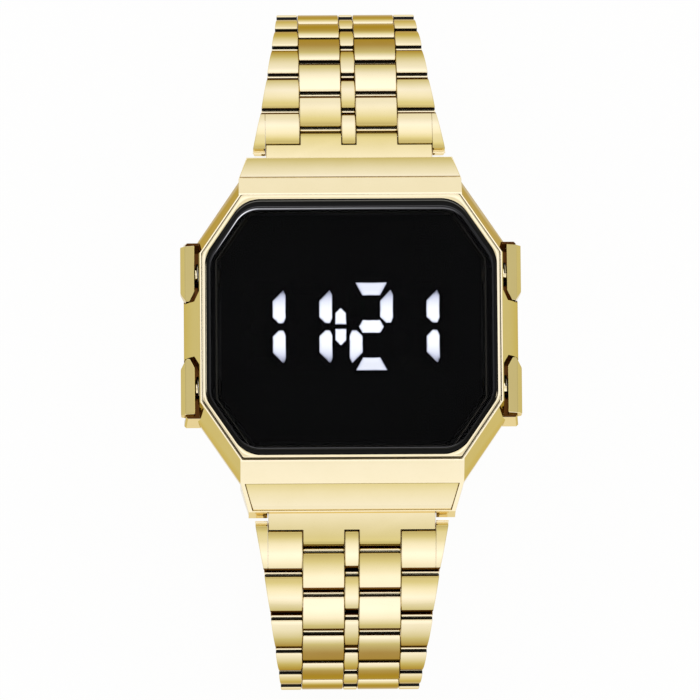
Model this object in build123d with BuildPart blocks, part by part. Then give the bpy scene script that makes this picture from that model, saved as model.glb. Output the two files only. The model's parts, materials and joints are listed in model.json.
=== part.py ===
"""LED wristwatch: octagonal case, smoked lens, four pushers, five-row bracelet and folding clasp.

Millimetres. +Z leaves the dial, +Y points to 12 o'clock, +X to 3 o'clock. The origin is the
centre of the case back's outer face. Each section makes one sub-part in its place at rest.
"""

import math
import os

from build123d import *

os.makedirs("parts", exist_ok=True)

# Clearances.
running_clearance = 0.03
seat_clearance = 0.03
moving_gap = 0.12
column_gap = 0.08

# Case.
corner_slope = 1.4734
case_bottom = 0.9
case_top = 8.8
case_top_inset = 1.75
case_top_half_length = 14.52
case_top_corner_run = 5.48
ridge_height = 7.0
ridge_inset = 0.6
ridge_half_length = 15.65
ridge_corner_run = 5.05
belt_top = 5.5
belt_bottom = 3.5
belt_half_width = 17.9
belt_half_length = 16.3
belt_corner_run = 5.08
foot_inset = 1.3
foot_half_length = 15.9
foot_corner_run = 5.0
facet_end_y = 16.4
facet_end_height = 6.6
lug_end_y = 19.25
lug_end_height = 3.75
lug_wall_y = 19.6
lug_wall_bottom = 1.5
lug_foot_y = 18.4
lug_shoulder_half_width = 11.95
lug_end_half_width = 11.07
trim_margin = 6.0
case_side_wall = 3.6
cavity_half_length = 12.6
cavity_corner_run = 5.1

# Bezel, lens and gasket.
bezel_top = 9.2
bezel_bottom = 7.4
bezel_side_border = 0.2
bezel_half_length = 14.27
bezel_corner_run = 5.435
bezel_edge_chamfer = 0.12
bezel_rim_width = 0.45
lens_half_length = 13.75
lens_corner_run = 5.22
lens_corner_radius = 3.3
lens_top = 9.42
lens_bottom = 8.3
lens_bevel_run = 0.5
lens_bevel_drop = 0.2
gasket_bottom = 8.0
gasket_outer_margin = 0.3
gasket_inner_margin = 0.2

# Display.
mask_top = 8.1
mask_margin = 0.4
board_top = 5.7
board_thickness = 0.8
board_side_wall = 0.5
board_half_length = 11.6
board_corner_cut = 3.2
board_post_radius = 1.6
segment_top = 8.0
digit_centre_y = 0.15
digit_right_x = (-7.7, -2.72, 3.79, 8.75)
digit_width = 3.27
stroke = 1.42
upright_centre = 2.17
upright_half = 1.8
upright_tip = 0.55
upright_bevel_long = 0.9
upright_bevel_short = 0.65
bar_centre = 4.05
bar_half_wide = 1.7
bar_half_narrow = 0.95
middle_half = 1.35
middle_half_narrow = 0.95
colon_x = -1.12
colon_offset = 1.12
colon_half_width = 0.6
colon_half_height = 0.9
colon_round = 0.55
window_clearance = 0.04
chip_height = 1.0
chip_side = 5.0
chip_x = 3.6
chip_y = 6.6
crystal_length = 4.0
crystal_width = 1.5

# Module holder, battery and contacts.
holder_top = 7.4
holder_side_gap = 2.2
holder_half_length = 12.45
holder_corner_gap = 1.2
holder_web_top = 4.3
holder_notch_side = 3.2
battery_wall = 2.1
battery_height = 1.6
battery_bottom = 2.1
battery_step = 1.0
battery_cap_height = 0.2
battery_margin = 0.15
strap_thickness = 0.2
strap_half_width = 2.0
strap_half_length = 11.3
contact_thickness = 0.2
contact_half_width = 0.9
contact_top = 6.9
contact_foot = 1.6

# Case back.
back_side_border = 1.7
back_half_length = 14.6
back_corner_run = 5.4
back_plug_height = 0.8
back_plug_clearance = 0.1
back_gasket_width = 0.4
back_gasket_height = 0.55
groove_clearance = 0.05
screw_side_inset = 5.5
screw_y = 13.65
screw_head_radius = 0.7
screw_head_height = 0.5
screw_sink = 0.1
screw_shank_radius = 0.4
screw_length = 2.6
screw_slot_width = 0.25
screw_slot_depth = 0.25

# End panels.
panel_start = 0.28
panel_end_border = 0.15
panel_inner_half_width = 11.45
panel_outer_half_width = 10.62
panel_recess_depth = 0.47
panel_inset = 0.12

# Pushers.
pusher_y = 6.1
pusher_half_length = 3.0
pusher_axis_height = 5.6
pusher_travel = 0.35
pusher_proud = 0.35
pusher_face_width = 1.06
pusher_side_width = 0.47
pusher_top = 7.35
pusher_crest_height = 6.9
pusher_side_top = 6.1
pusher_side_bottom = 4.5
pusher_bottom = 3.9
pusher_taper = 1.0
pusher_tip_inner_cut = 0.53
pusher_tip_outer_cut = 0.6
pusher_stop_gap = 0.07
slot_top = 10.0
stem_radius = 0.8
stem_reach = 1.0
clip_play = 0.05
clip_thickness = 0.25
clip_radius = 1.2
spring_seat_wall = 0.7
spring_seat_radius = 1.5
spring_radius = 1.15
spring_wire_radius = 0.13
spring_turns = 3
guard_top_width = 0.28
guard_foot_width = 0.8
guard_top_inset = 0.2
guard_root = 1.5
guard_top = 6.45
guard_bottom = 3.0
guard_round = 0.2

# Lugs and end links.
bar_y = 17.75
bar_height = 1.9
pocket_half_width = 9.05
pocket_roof = 3.2
pocket_wall_y = 16.3
end_link_half_width = 8.95
end_link_length = 3.8
end_link_slope = 23.0
end_link_bar_end = 2.95
spring_bar_radius = 0.75
spring_bar_half_length = 8.9
spring_bar_tip_radius = 0.4
spring_bar_tip = 0.9

# Bracelet.
pitch = 5.2
link_radius = 1.25
link_crown = 0.1
pin_radius = 0.5
pin_inset = 0.1
centre_half_width = 0.73
middle_width = 4.42
bracelet_width = 15.0
bracelet_flare = 5.6
flare_pitches = 6
slopes_12 = (33, 36.5, 48, 60, 68, 86, 105, 124, 141, 156, 168.5)
slopes_6 = (33.5, 41, 58.5, 73, 84, 99, 116.6, 132.6, 147.6, 158.6, 170)

# Clasp.
blade_half_width = 5.0
blade_thickness = 0.8
blade_top = 1.1
inner_blade_bottom = 0.3
outer_blade_bottom = -0.9
floor_bottom = -2.0
cover_overhang = 0.9
cover_wall = 0.8
cover_wall_top = 1.0
ear_gap = 0.25
fork_side_gap = 0.25
fork_radius = 1.2
fork_length = 4.2
blade_knuckle_radius = 1.0
blade_pivot_offset = 4.8
blade_pivot_height = 0.1
cover_knuckle_radius = 0.9
cover_pivot_offset = 5.5
cover_pivot_height = -1.0
tongue_half_width = 2.4
floor_notch_offset = 2.2
ear_root = 3.0
cover_bar_end = 4.9


def save(node, label):
    """Names a sub-part and writes its STEP file."""
    node.part.label = label
    export_step(node.part, f"parts/{label}.step")


def octagon(half_width, half_length, reach):
    """The eight corners of a plan outline whose slanted sides cross the X axis at reach."""
    corner_x = reach - half_length / corner_slope
    corner_y = (reach - half_width) * corner_slope
    quarter = [(half_width, corner_y), (corner_x, half_length)]
    points = quarter + [(-x, y) for x, y in reversed(quarter)]
    return points + [(-x, -y) for x, y in points]


def octagon_face(height, outline, inset=0):
    """A sketch of an octagonal outline at a height, moved inwards by inset on every side."""
    half_width, half_length, reach = outline
    slant = inset * math.hypot(1, 1 / corner_slope)
    with BuildSketch(Plane.XY.offset(height)) as face:
        Polygon(*octagon(half_width - inset, half_length - inset, reach - slant), align=None)
    return face.sketch


def side_plane(y, z, slope, side):
    """A plane across the watch: its x runs down the bracelet, its y outwards."""
    run, drop = math.cos(math.radians(slope)), math.sin(math.radians(slope))
    return Plane(origin=(0, y, z), x_dir=(0, side * run, -drop), z_dir=(side, 0, 0))


def slope_plane(side):
    """The plane of an end panel: its y runs down the slope, its z leaves the case."""
    run, drop = lug_end_y - facet_end_y, facet_end_height - lug_end_height
    return Plane(
        origin=(0, side * facet_end_y, facet_end_height),
        x_dir=(side, 0, 0),
        z_dir=(0, side * drop, run),
    )


case_top_half_width = belt_half_width - case_top_inset
case_top_reach = case_top_half_width + case_top_corner_run
ridge_half_width = belt_half_width - ridge_inset
ridge_reach = ridge_half_width + ridge_corner_run
belt_reach = belt_half_width + belt_corner_run
foot_half_width = belt_half_width - foot_inset
foot_reach = foot_half_width + foot_corner_run
cavity_half_width = belt_half_width - case_side_wall
cavity_reach = cavity_half_width + cavity_corner_run
bezel_half_width = case_top_half_width - bezel_side_border
bezel_reach = bezel_half_width + bezel_corner_run
lens_half_width = bezel_half_width - bezel_rim_width
lens_reach = lens_half_width + lens_corner_run
back_half_width = foot_half_width - back_side_border
back_reach = back_half_width + back_corner_run
screw_x = back_half_width - screw_side_inset
holder_half_width = cavity_half_width - holder_side_gap
board_half_width = holder_half_width - board_side_wall
battery_radius = holder_half_width - battery_wall
battery_cap_radius = battery_radius - battery_step
stem_tip_x = cavity_half_width - stem_reach
spring_seat_x = cavity_half_width + spring_seat_wall
cover_half_width = bracelet_width / 2 + cover_overhang
ear_inner_x = blade_half_width + ear_gap
mask_bottom = holder_top
holder_bottom = case_bottom + back_plug_height
holder_web_bottom = battery_bottom + battery_height
holder_reach = cavity_reach - holder_corner_gap
pusher_outer_x = belt_half_width + pusher_proud
pusher_crest_x = pusher_outer_x - pusher_side_width
pusher_inner_x = pusher_crest_x - pusher_face_width
pusher_tip_inner_x = pusher_inner_x + pusher_tip_inner_cut
pusher_tip_outer_x = pusher_outer_x - pusher_tip_outer_cut
fork_outer_x = cover_half_width - cover_wall - fork_side_gap
slot_floor_x = pusher_inner_x - pusher_travel - pusher_stop_gap
contact_x = stem_tip_x - pusher_travel - running_clearance
clip_x = cavity_half_width - clip_play - clip_thickness
case_outline = (case_top_half_width, case_top_half_length, case_top_reach)
ridge_outline = (ridge_half_width, ridge_half_length, ridge_reach)
belt_outline = (belt_half_width, belt_half_length, belt_reach)
foot_outline = (foot_half_width, foot_half_length, foot_reach)
cavity_outline = (cavity_half_width, cavity_half_length, cavity_reach)
bezel_outline = (bezel_half_width, bezel_half_length, bezel_reach)
holder_outline = (holder_half_width, holder_half_length, holder_reach)
back_outline = (back_half_width, back_half_length, back_reach)
slope_length = math.hypot(lug_end_y - facet_end_y, facet_end_height - lug_end_height)
pusher_signs = {
    "upper_right": (1, 1),
    "lower_right": (1, -1),
    "lower_left": (-1, -1),
    "upper_left": (-1, 1),
}


def panel_points(margin):
    """The trapezoid of an end panel on its slope, grown by a margin."""
    end = slope_length - panel_end_border + margin
    inner, outer = panel_inner_half_width + margin, panel_outer_half_width + margin
    start = panel_start - margin
    return [(-inner, start), (inner, start), (outer, end), (-outer, end)]


def pusher_plan(sx, sy, margin=0, travel=0):
    """A pusher's outline from above, grown by a margin and swept inwards by its travel."""
    near, far = pusher_y - pusher_half_length - margin, pusher_y + pusher_half_length + margin
    full = near + pusher_taper
    inner, outer = pusher_inner_x - margin - travel, pusher_outer_x + margin
    points = [
        (inner, far),
        (outer, far),
        (outer, full),
        (pusher_tip_outer_x + margin, near),
        (pusher_tip_inner_x - margin - travel, near),
        (inner, full),
    ]
    return [(sx * x, sy * y) for x, y in points]


def guard_face(sx, sy, height, outer_x, width):
    """A section of the guard beyond a pusher's far end, its outer corner cut off."""
    start_y = pusher_y + pusher_half_length + moving_gap
    far_y = start_y + width
    inner_x = belt_reach - far_y / corner_slope - guard_root
    corners = [
        (inner_x, start_y),
        (outer_x, start_y),
        (outer_x, far_y - guard_round),
        (outer_x - guard_round, far_y),
        (inner_x, far_y),
    ]
    with BuildSketch(Plane.XY.offset(height)) as face:
        Polygon(*[(sx * x, sy * y) for x, y in corners], align=None)
    return face.sketch


# Case body.
lug_profile = [
    (0, case_top),
    (case_top_half_length, case_top),
    (facet_end_y, facet_end_height),
    (lug_end_y, lug_end_height),
    (lug_wall_y, lug_wall_bottom),
    (lug_foot_y, case_bottom),
    (0, case_bottom),
]
lug_plan = [
    (belt_half_width, belt_half_length - trim_margin),
    (lug_shoulder_half_width, facet_end_y),
    (lug_end_half_width, lug_end_y),
    (lug_end_half_width, lug_wall_y),
]

with BuildPart() as case_body:
    loft(
        sections=[
            octagon_face(case_bottom, foot_outline),
            octagon_face(belt_bottom, belt_outline),
            octagon_face(belt_top, belt_outline),
            octagon_face(ridge_height, ridge_outline),
            octagon_face(case_top, case_outline),
        ],
        ruled=True,
    )
    for side in (1, -1):
        with BuildSketch(Plane.YZ.offset(-lug_shoulder_half_width)):
            Polygon(*[(side * y, z) for y, z in lug_profile], align=None)
        extrude(amount=2 * lug_shoulder_half_width)
    # The end facets and the panel slopes trim everything that rises past them.
    with BuildSketch(Plane.YZ.offset(-belt_half_width)):
        half = lug_profile[1:-1]
        Polygon(*(half + [(-y, z) for y, z in reversed(half)]), align=None)
    extrude(amount=2 * belt_half_width, mode=Mode.INTERSECT)
    with BuildSketch():
        right = [(x, -y) for x, y in reversed(lug_plan)] + lug_plan
        Polygon(*(right + [(-x, -y) for x, y in right]), align=None)
    extrude(amount=case_top, mode=Mode.INTERSECT)
    # Guards beyond the outer ends of the pushers, wider at the foot than at the top.
    for sx, sy in pusher_signs.values():
        loft(
            sections=[
                guard_face(sx, sy, guard_bottom, belt_half_width, guard_foot_width),
                guard_face(sx, sy, guard_top, belt_half_width - guard_top_inset, guard_top_width),
            ],
            ruled=True,
        )
    # Bezel seat and module cavity.
    seat = octagon_face(bezel_bottom, bezel_outline, -seat_clearance)
    extrude(seat, amount=case_top - bezel_bottom, mode=Mode.SUBTRACT)
    cavity = octagon_face(case_bottom, cavity_outline)
    extrude(cavity, amount=bezel_bottom - case_bottom, mode=Mode.SUBTRACT)
    # Gasket groove around the cavity's mouth.
    groove = octagon_face(case_bottom, cavity_outline, -back_gasket_width - groove_clearance)
    extrude(groove, amount=back_gasket_height, mode=Mode.SUBTRACT)
    for side in (1, -1):
        # Inset for the end panel.
        with BuildSketch(slope_plane(side)):
            Polygon(*panel_points(seat_clearance), align=None)
        extrude(amount=-panel_recess_depth, mode=Mode.SUBTRACT)
        # Pocket for the end link, and the holes for its spring bar.
        with BuildSketch(Plane.YZ.offset(-pocket_half_width)):
            pocket = [
                (pocket_wall_y, 0),
                (pocket_wall_y, pocket_roof),
                (lug_end_y + trim_margin, pocket_roof),
                (lug_end_y + trim_margin, 0),
            ]
            Polygon(*[(side * y, z) for y, z in pocket], align=None)
        extrude(amount=2 * pocket_half_width, mode=Mode.SUBTRACT)
        with BuildSketch(Plane.YZ.offset(-spring_bar_half_length - spring_bar_tip)):
            with Locations((side * bar_y, bar_height)):
                Circle(spring_bar_tip_radius + running_clearance)
        extrude(amount=2 * (spring_bar_half_length + spring_bar_tip), mode=Mode.SUBTRACT)
    for sx, sy in pusher_signs.values():
        # Slot for the pusher's head, seat for its spring and bore for its stem.
        near = pusher_y - pusher_half_length - moving_gap + pusher_taper
        far = pusher_y + pusher_half_length + moving_gap
        deep_x, deep_y = (slot_floor_x + pusher_crest_x) / 2, (near + far) / 2
        with BuildSketch(Plane.XY.offset(pusher_bottom - moving_gap)):
            Polygon(*pusher_plan(sx, sy, moving_gap, pusher_travel), align=None)
            with Locations((sx * deep_x, sy * deep_y)):
                Rectangle(pusher_crest_x - slot_floor_x, far - near)
        extrude(amount=slot_top, mode=Mode.SUBTRACT)
        with BuildSketch(Plane.YZ.offset(sx * spring_seat_x)):
            with Locations((sy * pusher_y, pusher_axis_height)):
                Circle(spring_seat_radius)
        extrude(amount=sx * (pusher_inner_x - spring_seat_x), mode=Mode.SUBTRACT)
        with BuildSketch(Plane.YZ.offset(sx * stem_tip_x)):
            with Locations((sy * pusher_y, pusher_axis_height)):
                Circle(stem_radius + running_clearance)
        extrude(amount=sx * (pusher_inner_x - stem_tip_x), mode=Mode.SUBTRACT)
    # Threaded holes for the case back's screws.
    with BuildSketch(Plane.XY.offset(case_bottom)):
        with GridLocations(2 * screw_x, 2 * screw_y, 2, 2):
            Circle(screw_shank_radius + seat_clearance)
    extrude(amount=screw_length, mode=Mode.SUBTRACT)
save(case_body, "case_body")


def lens_face(height, inset):
    """The lens outline with rounded corners at a height, moved inwards by inset."""
    slant = inset * math.hypot(1, 1 / corner_slope)
    corners = octagon(lens_half_width - inset, lens_half_length - inset, lens_reach - slant)
    with BuildSketch(Plane.XY.offset(height)) as face:
        Polygon(*corners, align=None)
        fillet(face.vertices(), lens_corner_radius - inset)
    return face.sketch


# Bezel: a rim round the lens that stands a little above the case.
with BuildPart() as bezel:
    extrude(octagon_face(bezel_bottom, bezel_outline), amount=bezel_top - bezel_bottom)
    chamfer(bezel.faces().sort_by(Axis.Z)[-1].outer_wire().edges(), bezel_edge_chamfer)
    lens_seat = lens_face(gasket_bottom, -seat_clearance)
    extrude(lens_seat, amount=bezel_top - gasket_bottom, mode=Mode.SUBTRACT)
    window = octagon_face(bezel_bottom, cavity_outline)
    extrude(window, amount=bezel_top - bezel_bottom, mode=Mode.SUBTRACT)
save(bezel, "bezel")

# Lens: flat top with a narrow bevel all round.
bevel_start = lens_top - lens_bevel_drop
with BuildPart() as lens:
    extrude(lens_face(lens_bottom, 0), amount=bevel_start - lens_bottom)
    loft(sections=[lens_face(bevel_start, 0), lens_face(lens_top, lens_bevel_run)], ruled=True)
save(lens, "lens")

# Lens gasket.
with BuildPart() as lens_gasket:
    gasket_height = lens_bottom - gasket_bottom
    extrude(lens_face(gasket_bottom, gasket_outer_margin), amount=gasket_height)
    opening = octagon_face(gasket_bottom, cavity_outline, -gasket_inner_margin)
    extrude(opening, amount=gasket_height, mode=Mode.SUBTRACT)
save(lens_gasket, "lens_gasket")


def upright(x, y, out, up):
    """An upright stroke: straight on its outer side, bevelled at both ends of its inner side."""
    half = stroke / 2
    points = [
        (half, upright_half - upright_tip),
        (half - upright_tip / 2, upright_half),
        (-half, upright_half - upright_bevel_long - upright_tip / 2),
        (-half, upright_bevel_short - upright_half),
        (-half + upright_bevel_short, -upright_half),
        (half - upright_tip / 2, -upright_half),
        (half, upright_tip - upright_half),
    ]
    return [(x + out * u, y + up * v) for u, v in points]


def level(x, y, up):
    """The top or bottom stroke: a trapezoid, wide on its outer side."""
    half = stroke / 2
    points = [
        (-bar_half_wide, half),
        (bar_half_wide, half),
        (bar_half_narrow, -half),
        (-bar_half_narrow, -half),
    ]
    return [(x + u, y + up * v) for u, v in points]


def middle_stroke(x, y):
    """The middle stroke: a hexagon."""
    half = stroke / 2
    quarter = [(middle_half_narrow, half), (middle_half, 0), (middle_half_narrow, -half)]
    return [(x + u, y + v) for u, v in quarter] + [(x - u, y + v) for u, v in reversed(quarter)]


def digit_strokes(right_x):
    """The seven strokes of a digit, keyed by their usual letters, as outlines."""
    left_x, mid_x = right_x - digit_width, right_x - digit_width / 2
    y = digit_centre_y
    return {
        "a": level(mid_x, y + bar_centre, 1),
        "b": upright(right_x, y + upright_centre, 1, 1),
        "c": upright(right_x, y - upright_centre, 1, -1),
        "d": level(mid_x, y - bar_centre, -1),
        "e": upright(left_x, y - upright_centre, -1, -1),
        "f": upright(left_x, y + upright_centre, -1, 1),
        "g": middle_stroke(mid_x, y),
    }


def colon_dot(up):
    """A dot of the colon, rounded away from the middle."""
    y = digit_centre_y + up * colon_offset
    half, tall = colon_half_width, colon_half_height
    points = [
        (-half, -tall),
        (half, -tall),
        (half, tall - colon_round),
        (half - colon_round, tall),
        (colon_round - half, tall),
        (-half, tall - colon_round),
    ]
    return [(colon_x + u, y + up * v) for u, v in points]


lit_letters = ("bc", "bc", "abged", "bc")
all_strokes = [digit_strokes(x) for x in digit_right_x]
lit_strokes = [d[k] for d, letters in zip(all_strokes, lit_letters) for k in letters]
lit_strokes += [colon_dot(1), colon_dot(-1)]
dark_strokes = [
    d[k] for d, letters in zip(all_strokes, lit_letters) for k in d if k not in letters
]


def stroke_bars(strokes):
    """Light guides that stand on the board and fill the mask's windows."""
    with BuildPart() as bars:
        for outline in strokes:
            with BuildSketch(Plane.XY.offset(board_top)):
                Polygon(*outline, align=None)
                offset(amount=-window_clearance, mode=Mode.REPLACE)
            extrude(amount=segment_top - board_top)
    return bars


save(stroke_bars(lit_strokes), "segments_lit")
save(stroke_bars(dark_strokes), "segments_dark")

# Display mask.
with BuildPart() as display_mask:
    extrude(octagon_face(mask_bottom, cavity_outline, mask_margin), amount=mask_top - mask_bottom)
    for outline in lit_strokes + dark_strokes:
        with BuildSketch(Plane.XY.offset(mask_bottom)):
            Polygon(*outline, align=None)
        extrude(amount=mask_top - mask_bottom, mode=Mode.SUBTRACT)
save(display_mask, "display_mask")

# Circuit board and the parts under it.
board_bottom = board_top - board_thickness
with BuildPart() as circuit_board:
    with BuildSketch(Plane.XY.offset(board_bottom)):
        Rectangle(2 * board_half_width, 2 * board_half_length)
        with GridLocations(2 * board_half_width, 2 * board_half_length, 2, 2):
            Rectangle(board_corner_cut, board_corner_cut, rotation=45, mode=Mode.SUBTRACT)
    extrude(amount=board_thickness)
save(circuit_board, "circuit_board")

with BuildPart() as board_parts:
    with BuildSketch(Plane.XY.offset(board_top)):
        with Locations((-chip_x, chip_y + chip_side / 2), (chip_x, chip_y + chip_side / 2)):
            Rectangle(crystal_length, crystal_width)
        with Locations((0, -chip_y - chip_side / 4)):
            Rectangle(chip_side, chip_side / 2)
    extrude(amount=chip_height)
save(board_parts, "board_parts")

# Module holder: a tray with a battery well below and the board above.
with BuildPart() as module_holder:
    extrude(octagon_face(holder_bottom, holder_outline), amount=holder_top - holder_bottom)
    with BuildSketch(Plane.XY.offset(holder_bottom)):
        Circle(battery_radius + battery_margin)
    extrude(amount=holder_web_bottom - holder_bottom, mode=Mode.SUBTRACT)
    with BuildSketch(Plane.XY.offset(holder_web_top)):
        Rectangle(2 * (board_half_width + battery_margin), 2 * (board_half_length + battery_margin))
        for sx, sy in pusher_signs.values():
            with Locations((sx * board_half_width, sy * pusher_y)):
                Rectangle(holder_notch_side, holder_notch_side)
    extrude(amount=holder_top - holder_web_top, mode=Mode.SUBTRACT)
    # Posts that carry the board.
    with BuildSketch(Plane.XY.offset(holder_web_top)):
        with GridLocations(2 * chip_side, 2 * chip_y, 2, 2):
            Circle(board_post_radius)
    extrude(amount=board_bottom - holder_web_top)
    with BuildSketch(Plane.XY.offset(holder_bottom)):
        Rectangle(2 * (strap_half_width + battery_margin), 2 * (strap_half_length + battery_margin))
    extrude(amount=strap_thickness, mode=Mode.SUBTRACT)
save(module_holder, "module_holder")

# Battery and the strap that holds it in its well.
with BuildPart() as battery:
    with BuildSketch(Plane.XY.offset(battery_bottom + battery_cap_height)):
        Circle(battery_radius)
    extrude(amount=battery_height - battery_cap_height)
    with BuildSketch(Plane.XY.offset(battery_bottom)):
        Circle(battery_cap_radius)
    extrude(amount=battery_cap_height)
save(battery, "battery")

with BuildPart() as battery_strap:
    with BuildSketch(Plane.XY.offset(holder_bottom)):
        Rectangle(2 * strap_half_width, 2 * strap_half_length)
    extrude(amount=strap_thickness)
    with BuildSketch(Plane.XY.offset(holder_bottom + strap_thickness)):
        Circle(strap_half_width)
    extrude(amount=battery_bottom - holder_bottom - strap_thickness)
save(battery_strap, "battery_strap")

# Spring contacts that the stems press.
with BuildPart() as button_contacts:
    for sx, sy in pusher_signs.values():
        with BuildSketch(Plane.XZ.offset(-sy * pusher_y - contact_half_width)):
            blade = [
                (contact_x - contact_thickness - contact_foot, board_top),
                (contact_x, board_top),
                (contact_x, contact_top),
                (contact_x - contact_thickness, contact_top),
                (contact_x - contact_thickness, board_top + contact_thickness),
                (contact_x - contact_thickness - contact_foot, board_top + contact_thickness),
            ]
            Polygon(*[(sx * x, z) for x, z in blade], align=None)
        extrude(amount=2 * contact_half_width)
save(button_contacts, "button_contacts")

# Case back.
with BuildPart() as case_back:
    extrude(octagon_face(0, back_outline), amount=case_bottom)
    plug = octagon_face(case_bottom, cavity_outline, back_plug_clearance)
    extrude(plug, amount=back_plug_height)
    with BuildSketch():
        with GridLocations(2 * screw_x, 2 * screw_y, 2, 2):
            Circle(screw_shank_radius + seat_clearance)
    extrude(amount=case_bottom, mode=Mode.SUBTRACT)
    with BuildSketch():
        with GridLocations(2 * screw_x, 2 * screw_y, 2, 2):
            Circle(screw_head_radius + seat_clearance)
    extrude(amount=screw_sink + screw_head_height, mode=Mode.SUBTRACT)
save(case_back, "case_back")

with BuildPart() as case_back_gasket:
    ring = octagon_face(case_bottom, cavity_outline, -back_gasket_width)
    extrude(ring, amount=back_gasket_height)
    extrude(octagon_face(case_bottom, cavity_outline), amount=back_gasket_height, mode=Mode.SUBTRACT)
save(case_back_gasket, "case_back_gasket")

with BuildPart() as case_back_screws:
    with GridLocations(2 * screw_x, 2 * screw_y, 2, 2):
        with Locations((0, 0, screw_sink)):
            Cylinder(
                screw_head_radius,
                screw_head_height,
                align=(Align.CENTER, Align.CENTER, Align.MIN),
            )
            Cylinder(
                screw_shank_radius,
                screw_length,
                align=(Align.CENTER, Align.CENTER, Align.MIN),
            )
            Box(
                2 * screw_head_radius,
                screw_slot_width,
                screw_slot_depth,
                align=(Align.CENTER, Align.CENTER, Align.MIN),
                mode=Mode.SUBTRACT,
            )
save(case_back_screws, "case_back_screws")

# End panels.
for side, label in ((1, "end_panel_12"), (-1, "end_panel_6")):
    with BuildPart() as end_panel:
        with BuildSketch(slope_plane(side).offset(-panel_recess_depth)):
            Polygon(*panel_points(0), align=None)
        extrude(amount=panel_recess_depth - panel_inset)
    save(end_panel, label)


def pusher(sx, sy):
    """A pusher: a faceted head, its stem and the clip that keeps it in the case."""
    section = [
        (pusher_inner_x, pusher_top),
        (pusher_crest_x, pusher_crest_height),
        (pusher_outer_x, pusher_side_top),
        (pusher_outer_x, pusher_side_bottom),
        (pusher_crest_x, pusher_bottom),
        (pusher_inner_x, pusher_bottom),
    ]
    with BuildPart() as body:
        with BuildSketch(Plane.XZ.offset(-sy * pusher_y - pusher_half_length)):
            Polygon(*[(sx * x, z) for x, z in section], align=None)
        extrude(amount=2 * pusher_half_length)
        with BuildSketch():
            Polygon(*pusher_plan(sx, sy), align=None)
        extrude(amount=slot_top, mode=Mode.INTERSECT)
        with BuildSketch(Plane.YZ.offset(sx * stem_tip_x)):
            with Locations((sy * pusher_y, pusher_axis_height)):
                Circle(stem_radius)
        extrude(amount=sx * (pusher_crest_x - stem_tip_x))
        with BuildSketch(Plane.YZ.offset(sx * clip_x)):
            with Locations((sy * pusher_y, pusher_axis_height)):
                Circle(clip_radius)
        extrude(amount=sx * clip_thickness)
    return body


def pusher_spring(sx, sy):
    """The coil between the case's spring seat and the back of a pusher's head."""
    length = pusher_inner_x - spring_seat_x - 2 * spring_wire_radius
    start = sx * (spring_seat_x + spring_wire_radius)
    centre = (start, sy * pusher_y, pusher_axis_height)
    with BuildPart() as coil:
        with BuildLine() as path:
            Helix(length / spring_turns, length, spring_radius, center=centre, direction=(sx, 0, 0))
        with BuildSketch(Plane(origin=path.line @ 0, z_dir=path.line % 0)):
            Circle(spring_wire_radius)
        sweep(path=path.line)
    return coil


for place, (sx, sy) in pusher_signs.items():
    save(pusher(sx, sy), f"pusher_{place}")
    save(pusher_spring(sx, sy), f"pusher_spring_{place}")


def cross_pin(y, z, radius, half_length):
    """A round pin across the watch, with half its length on either side of the middle."""
    with BuildSketch(Plane.YZ.offset(-half_length)) as face:
        with Locations((y, z)):
            Circle(radius)
    extrude(face.sketch, amount=2 * half_length)


# Spring bars and end links.
slope = math.radians(end_link_slope)
first_pin_y = bar_y + end_link_length * math.cos(slope)
first_pin_z = bar_height - end_link_length * math.sin(slope)
middle_inner_x = centre_half_width + column_gap
middle_outer_x = middle_inner_x + middle_width
outer_inner_x = middle_outer_x + column_gap

for side, number in ((1, "12"), (-1, "6")):
    with BuildPart() as spring_bar:
        cross_pin(side * bar_y, bar_height, spring_bar_radius, spring_bar_half_length)
        tip_end = spring_bar_half_length + spring_bar_tip - running_clearance
        cross_pin(side * bar_y, bar_height, spring_bar_tip_radius, tip_end)
    save(spring_bar, f"spring_bar_{number}")

    with BuildPart() as end_link:
        plane = side_plane(side * bar_y, bar_height, end_link_slope, side)
        # The bar: full width, with a hollow front that clears the first link's rounded ends.
        with BuildSketch(plane.offset(-end_link_half_width)):
            Circle(link_radius)
            with Locations((end_link_bar_end / 2, 0)):
                Rectangle(end_link_bar_end, 2 * link_radius)
            with Locations((end_link_length, 0)):
                Circle(link_radius + moving_gap, mode=Mode.SUBTRACT)
        extrude(amount=2 * end_link_half_width)
        # Two prongs in the middle rows, rounded about the first pin.
        for x in (middle_inner_x, -middle_outer_x):
            with BuildSketch(plane.offset(x)):
                Circle(link_radius)
                with Locations((end_link_length / 2, 0)):
                    Rectangle(end_link_length, 2 * link_radius)
                with Locations((end_link_length, 0)):
                    Circle(link_radius)
            extrude(amount=middle_width)
        with BuildSketch(plane.offset(-end_link_half_width)):
            Circle(spring_bar_radius + running_clearance)
            with Locations((end_link_length, 0)):
                Circle(pin_radius + running_clearance)
        extrude(amount=2 * end_link_half_width, mode=Mode.SUBTRACT)
    save(end_link, f"end_link_{number}")


def outer_half_width(number):
    """Half the bracelet's width a number of pitches from the case: it narrows, then stays."""
    left = max(flare_pitches - number, 0) / flare_pitches
    return (bracelet_width + bracelet_flare * left * left) / 2


def link_profile(plane, start):
    """A link piece from the side: round about two pins half a pitch apart, slightly crowned."""
    end = start + pitch / 2
    crest = ((start + end) / 2, link_radius + link_crown)
    with BuildSketch(plane) as face:
        with BuildLine():
            crown = ThreePointArc((start, link_radius), crest, (end, link_radius))
            near = ThreePointArc(crown @ 0, (start - link_radius, 0), (start, -link_radius))
            far = ThreePointArc(crown @ 1, (end + link_radius, 0), (end, -link_radius))
            Line(near @ 1, far @ 1)
        make_face()
    return face.sketch


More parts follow.
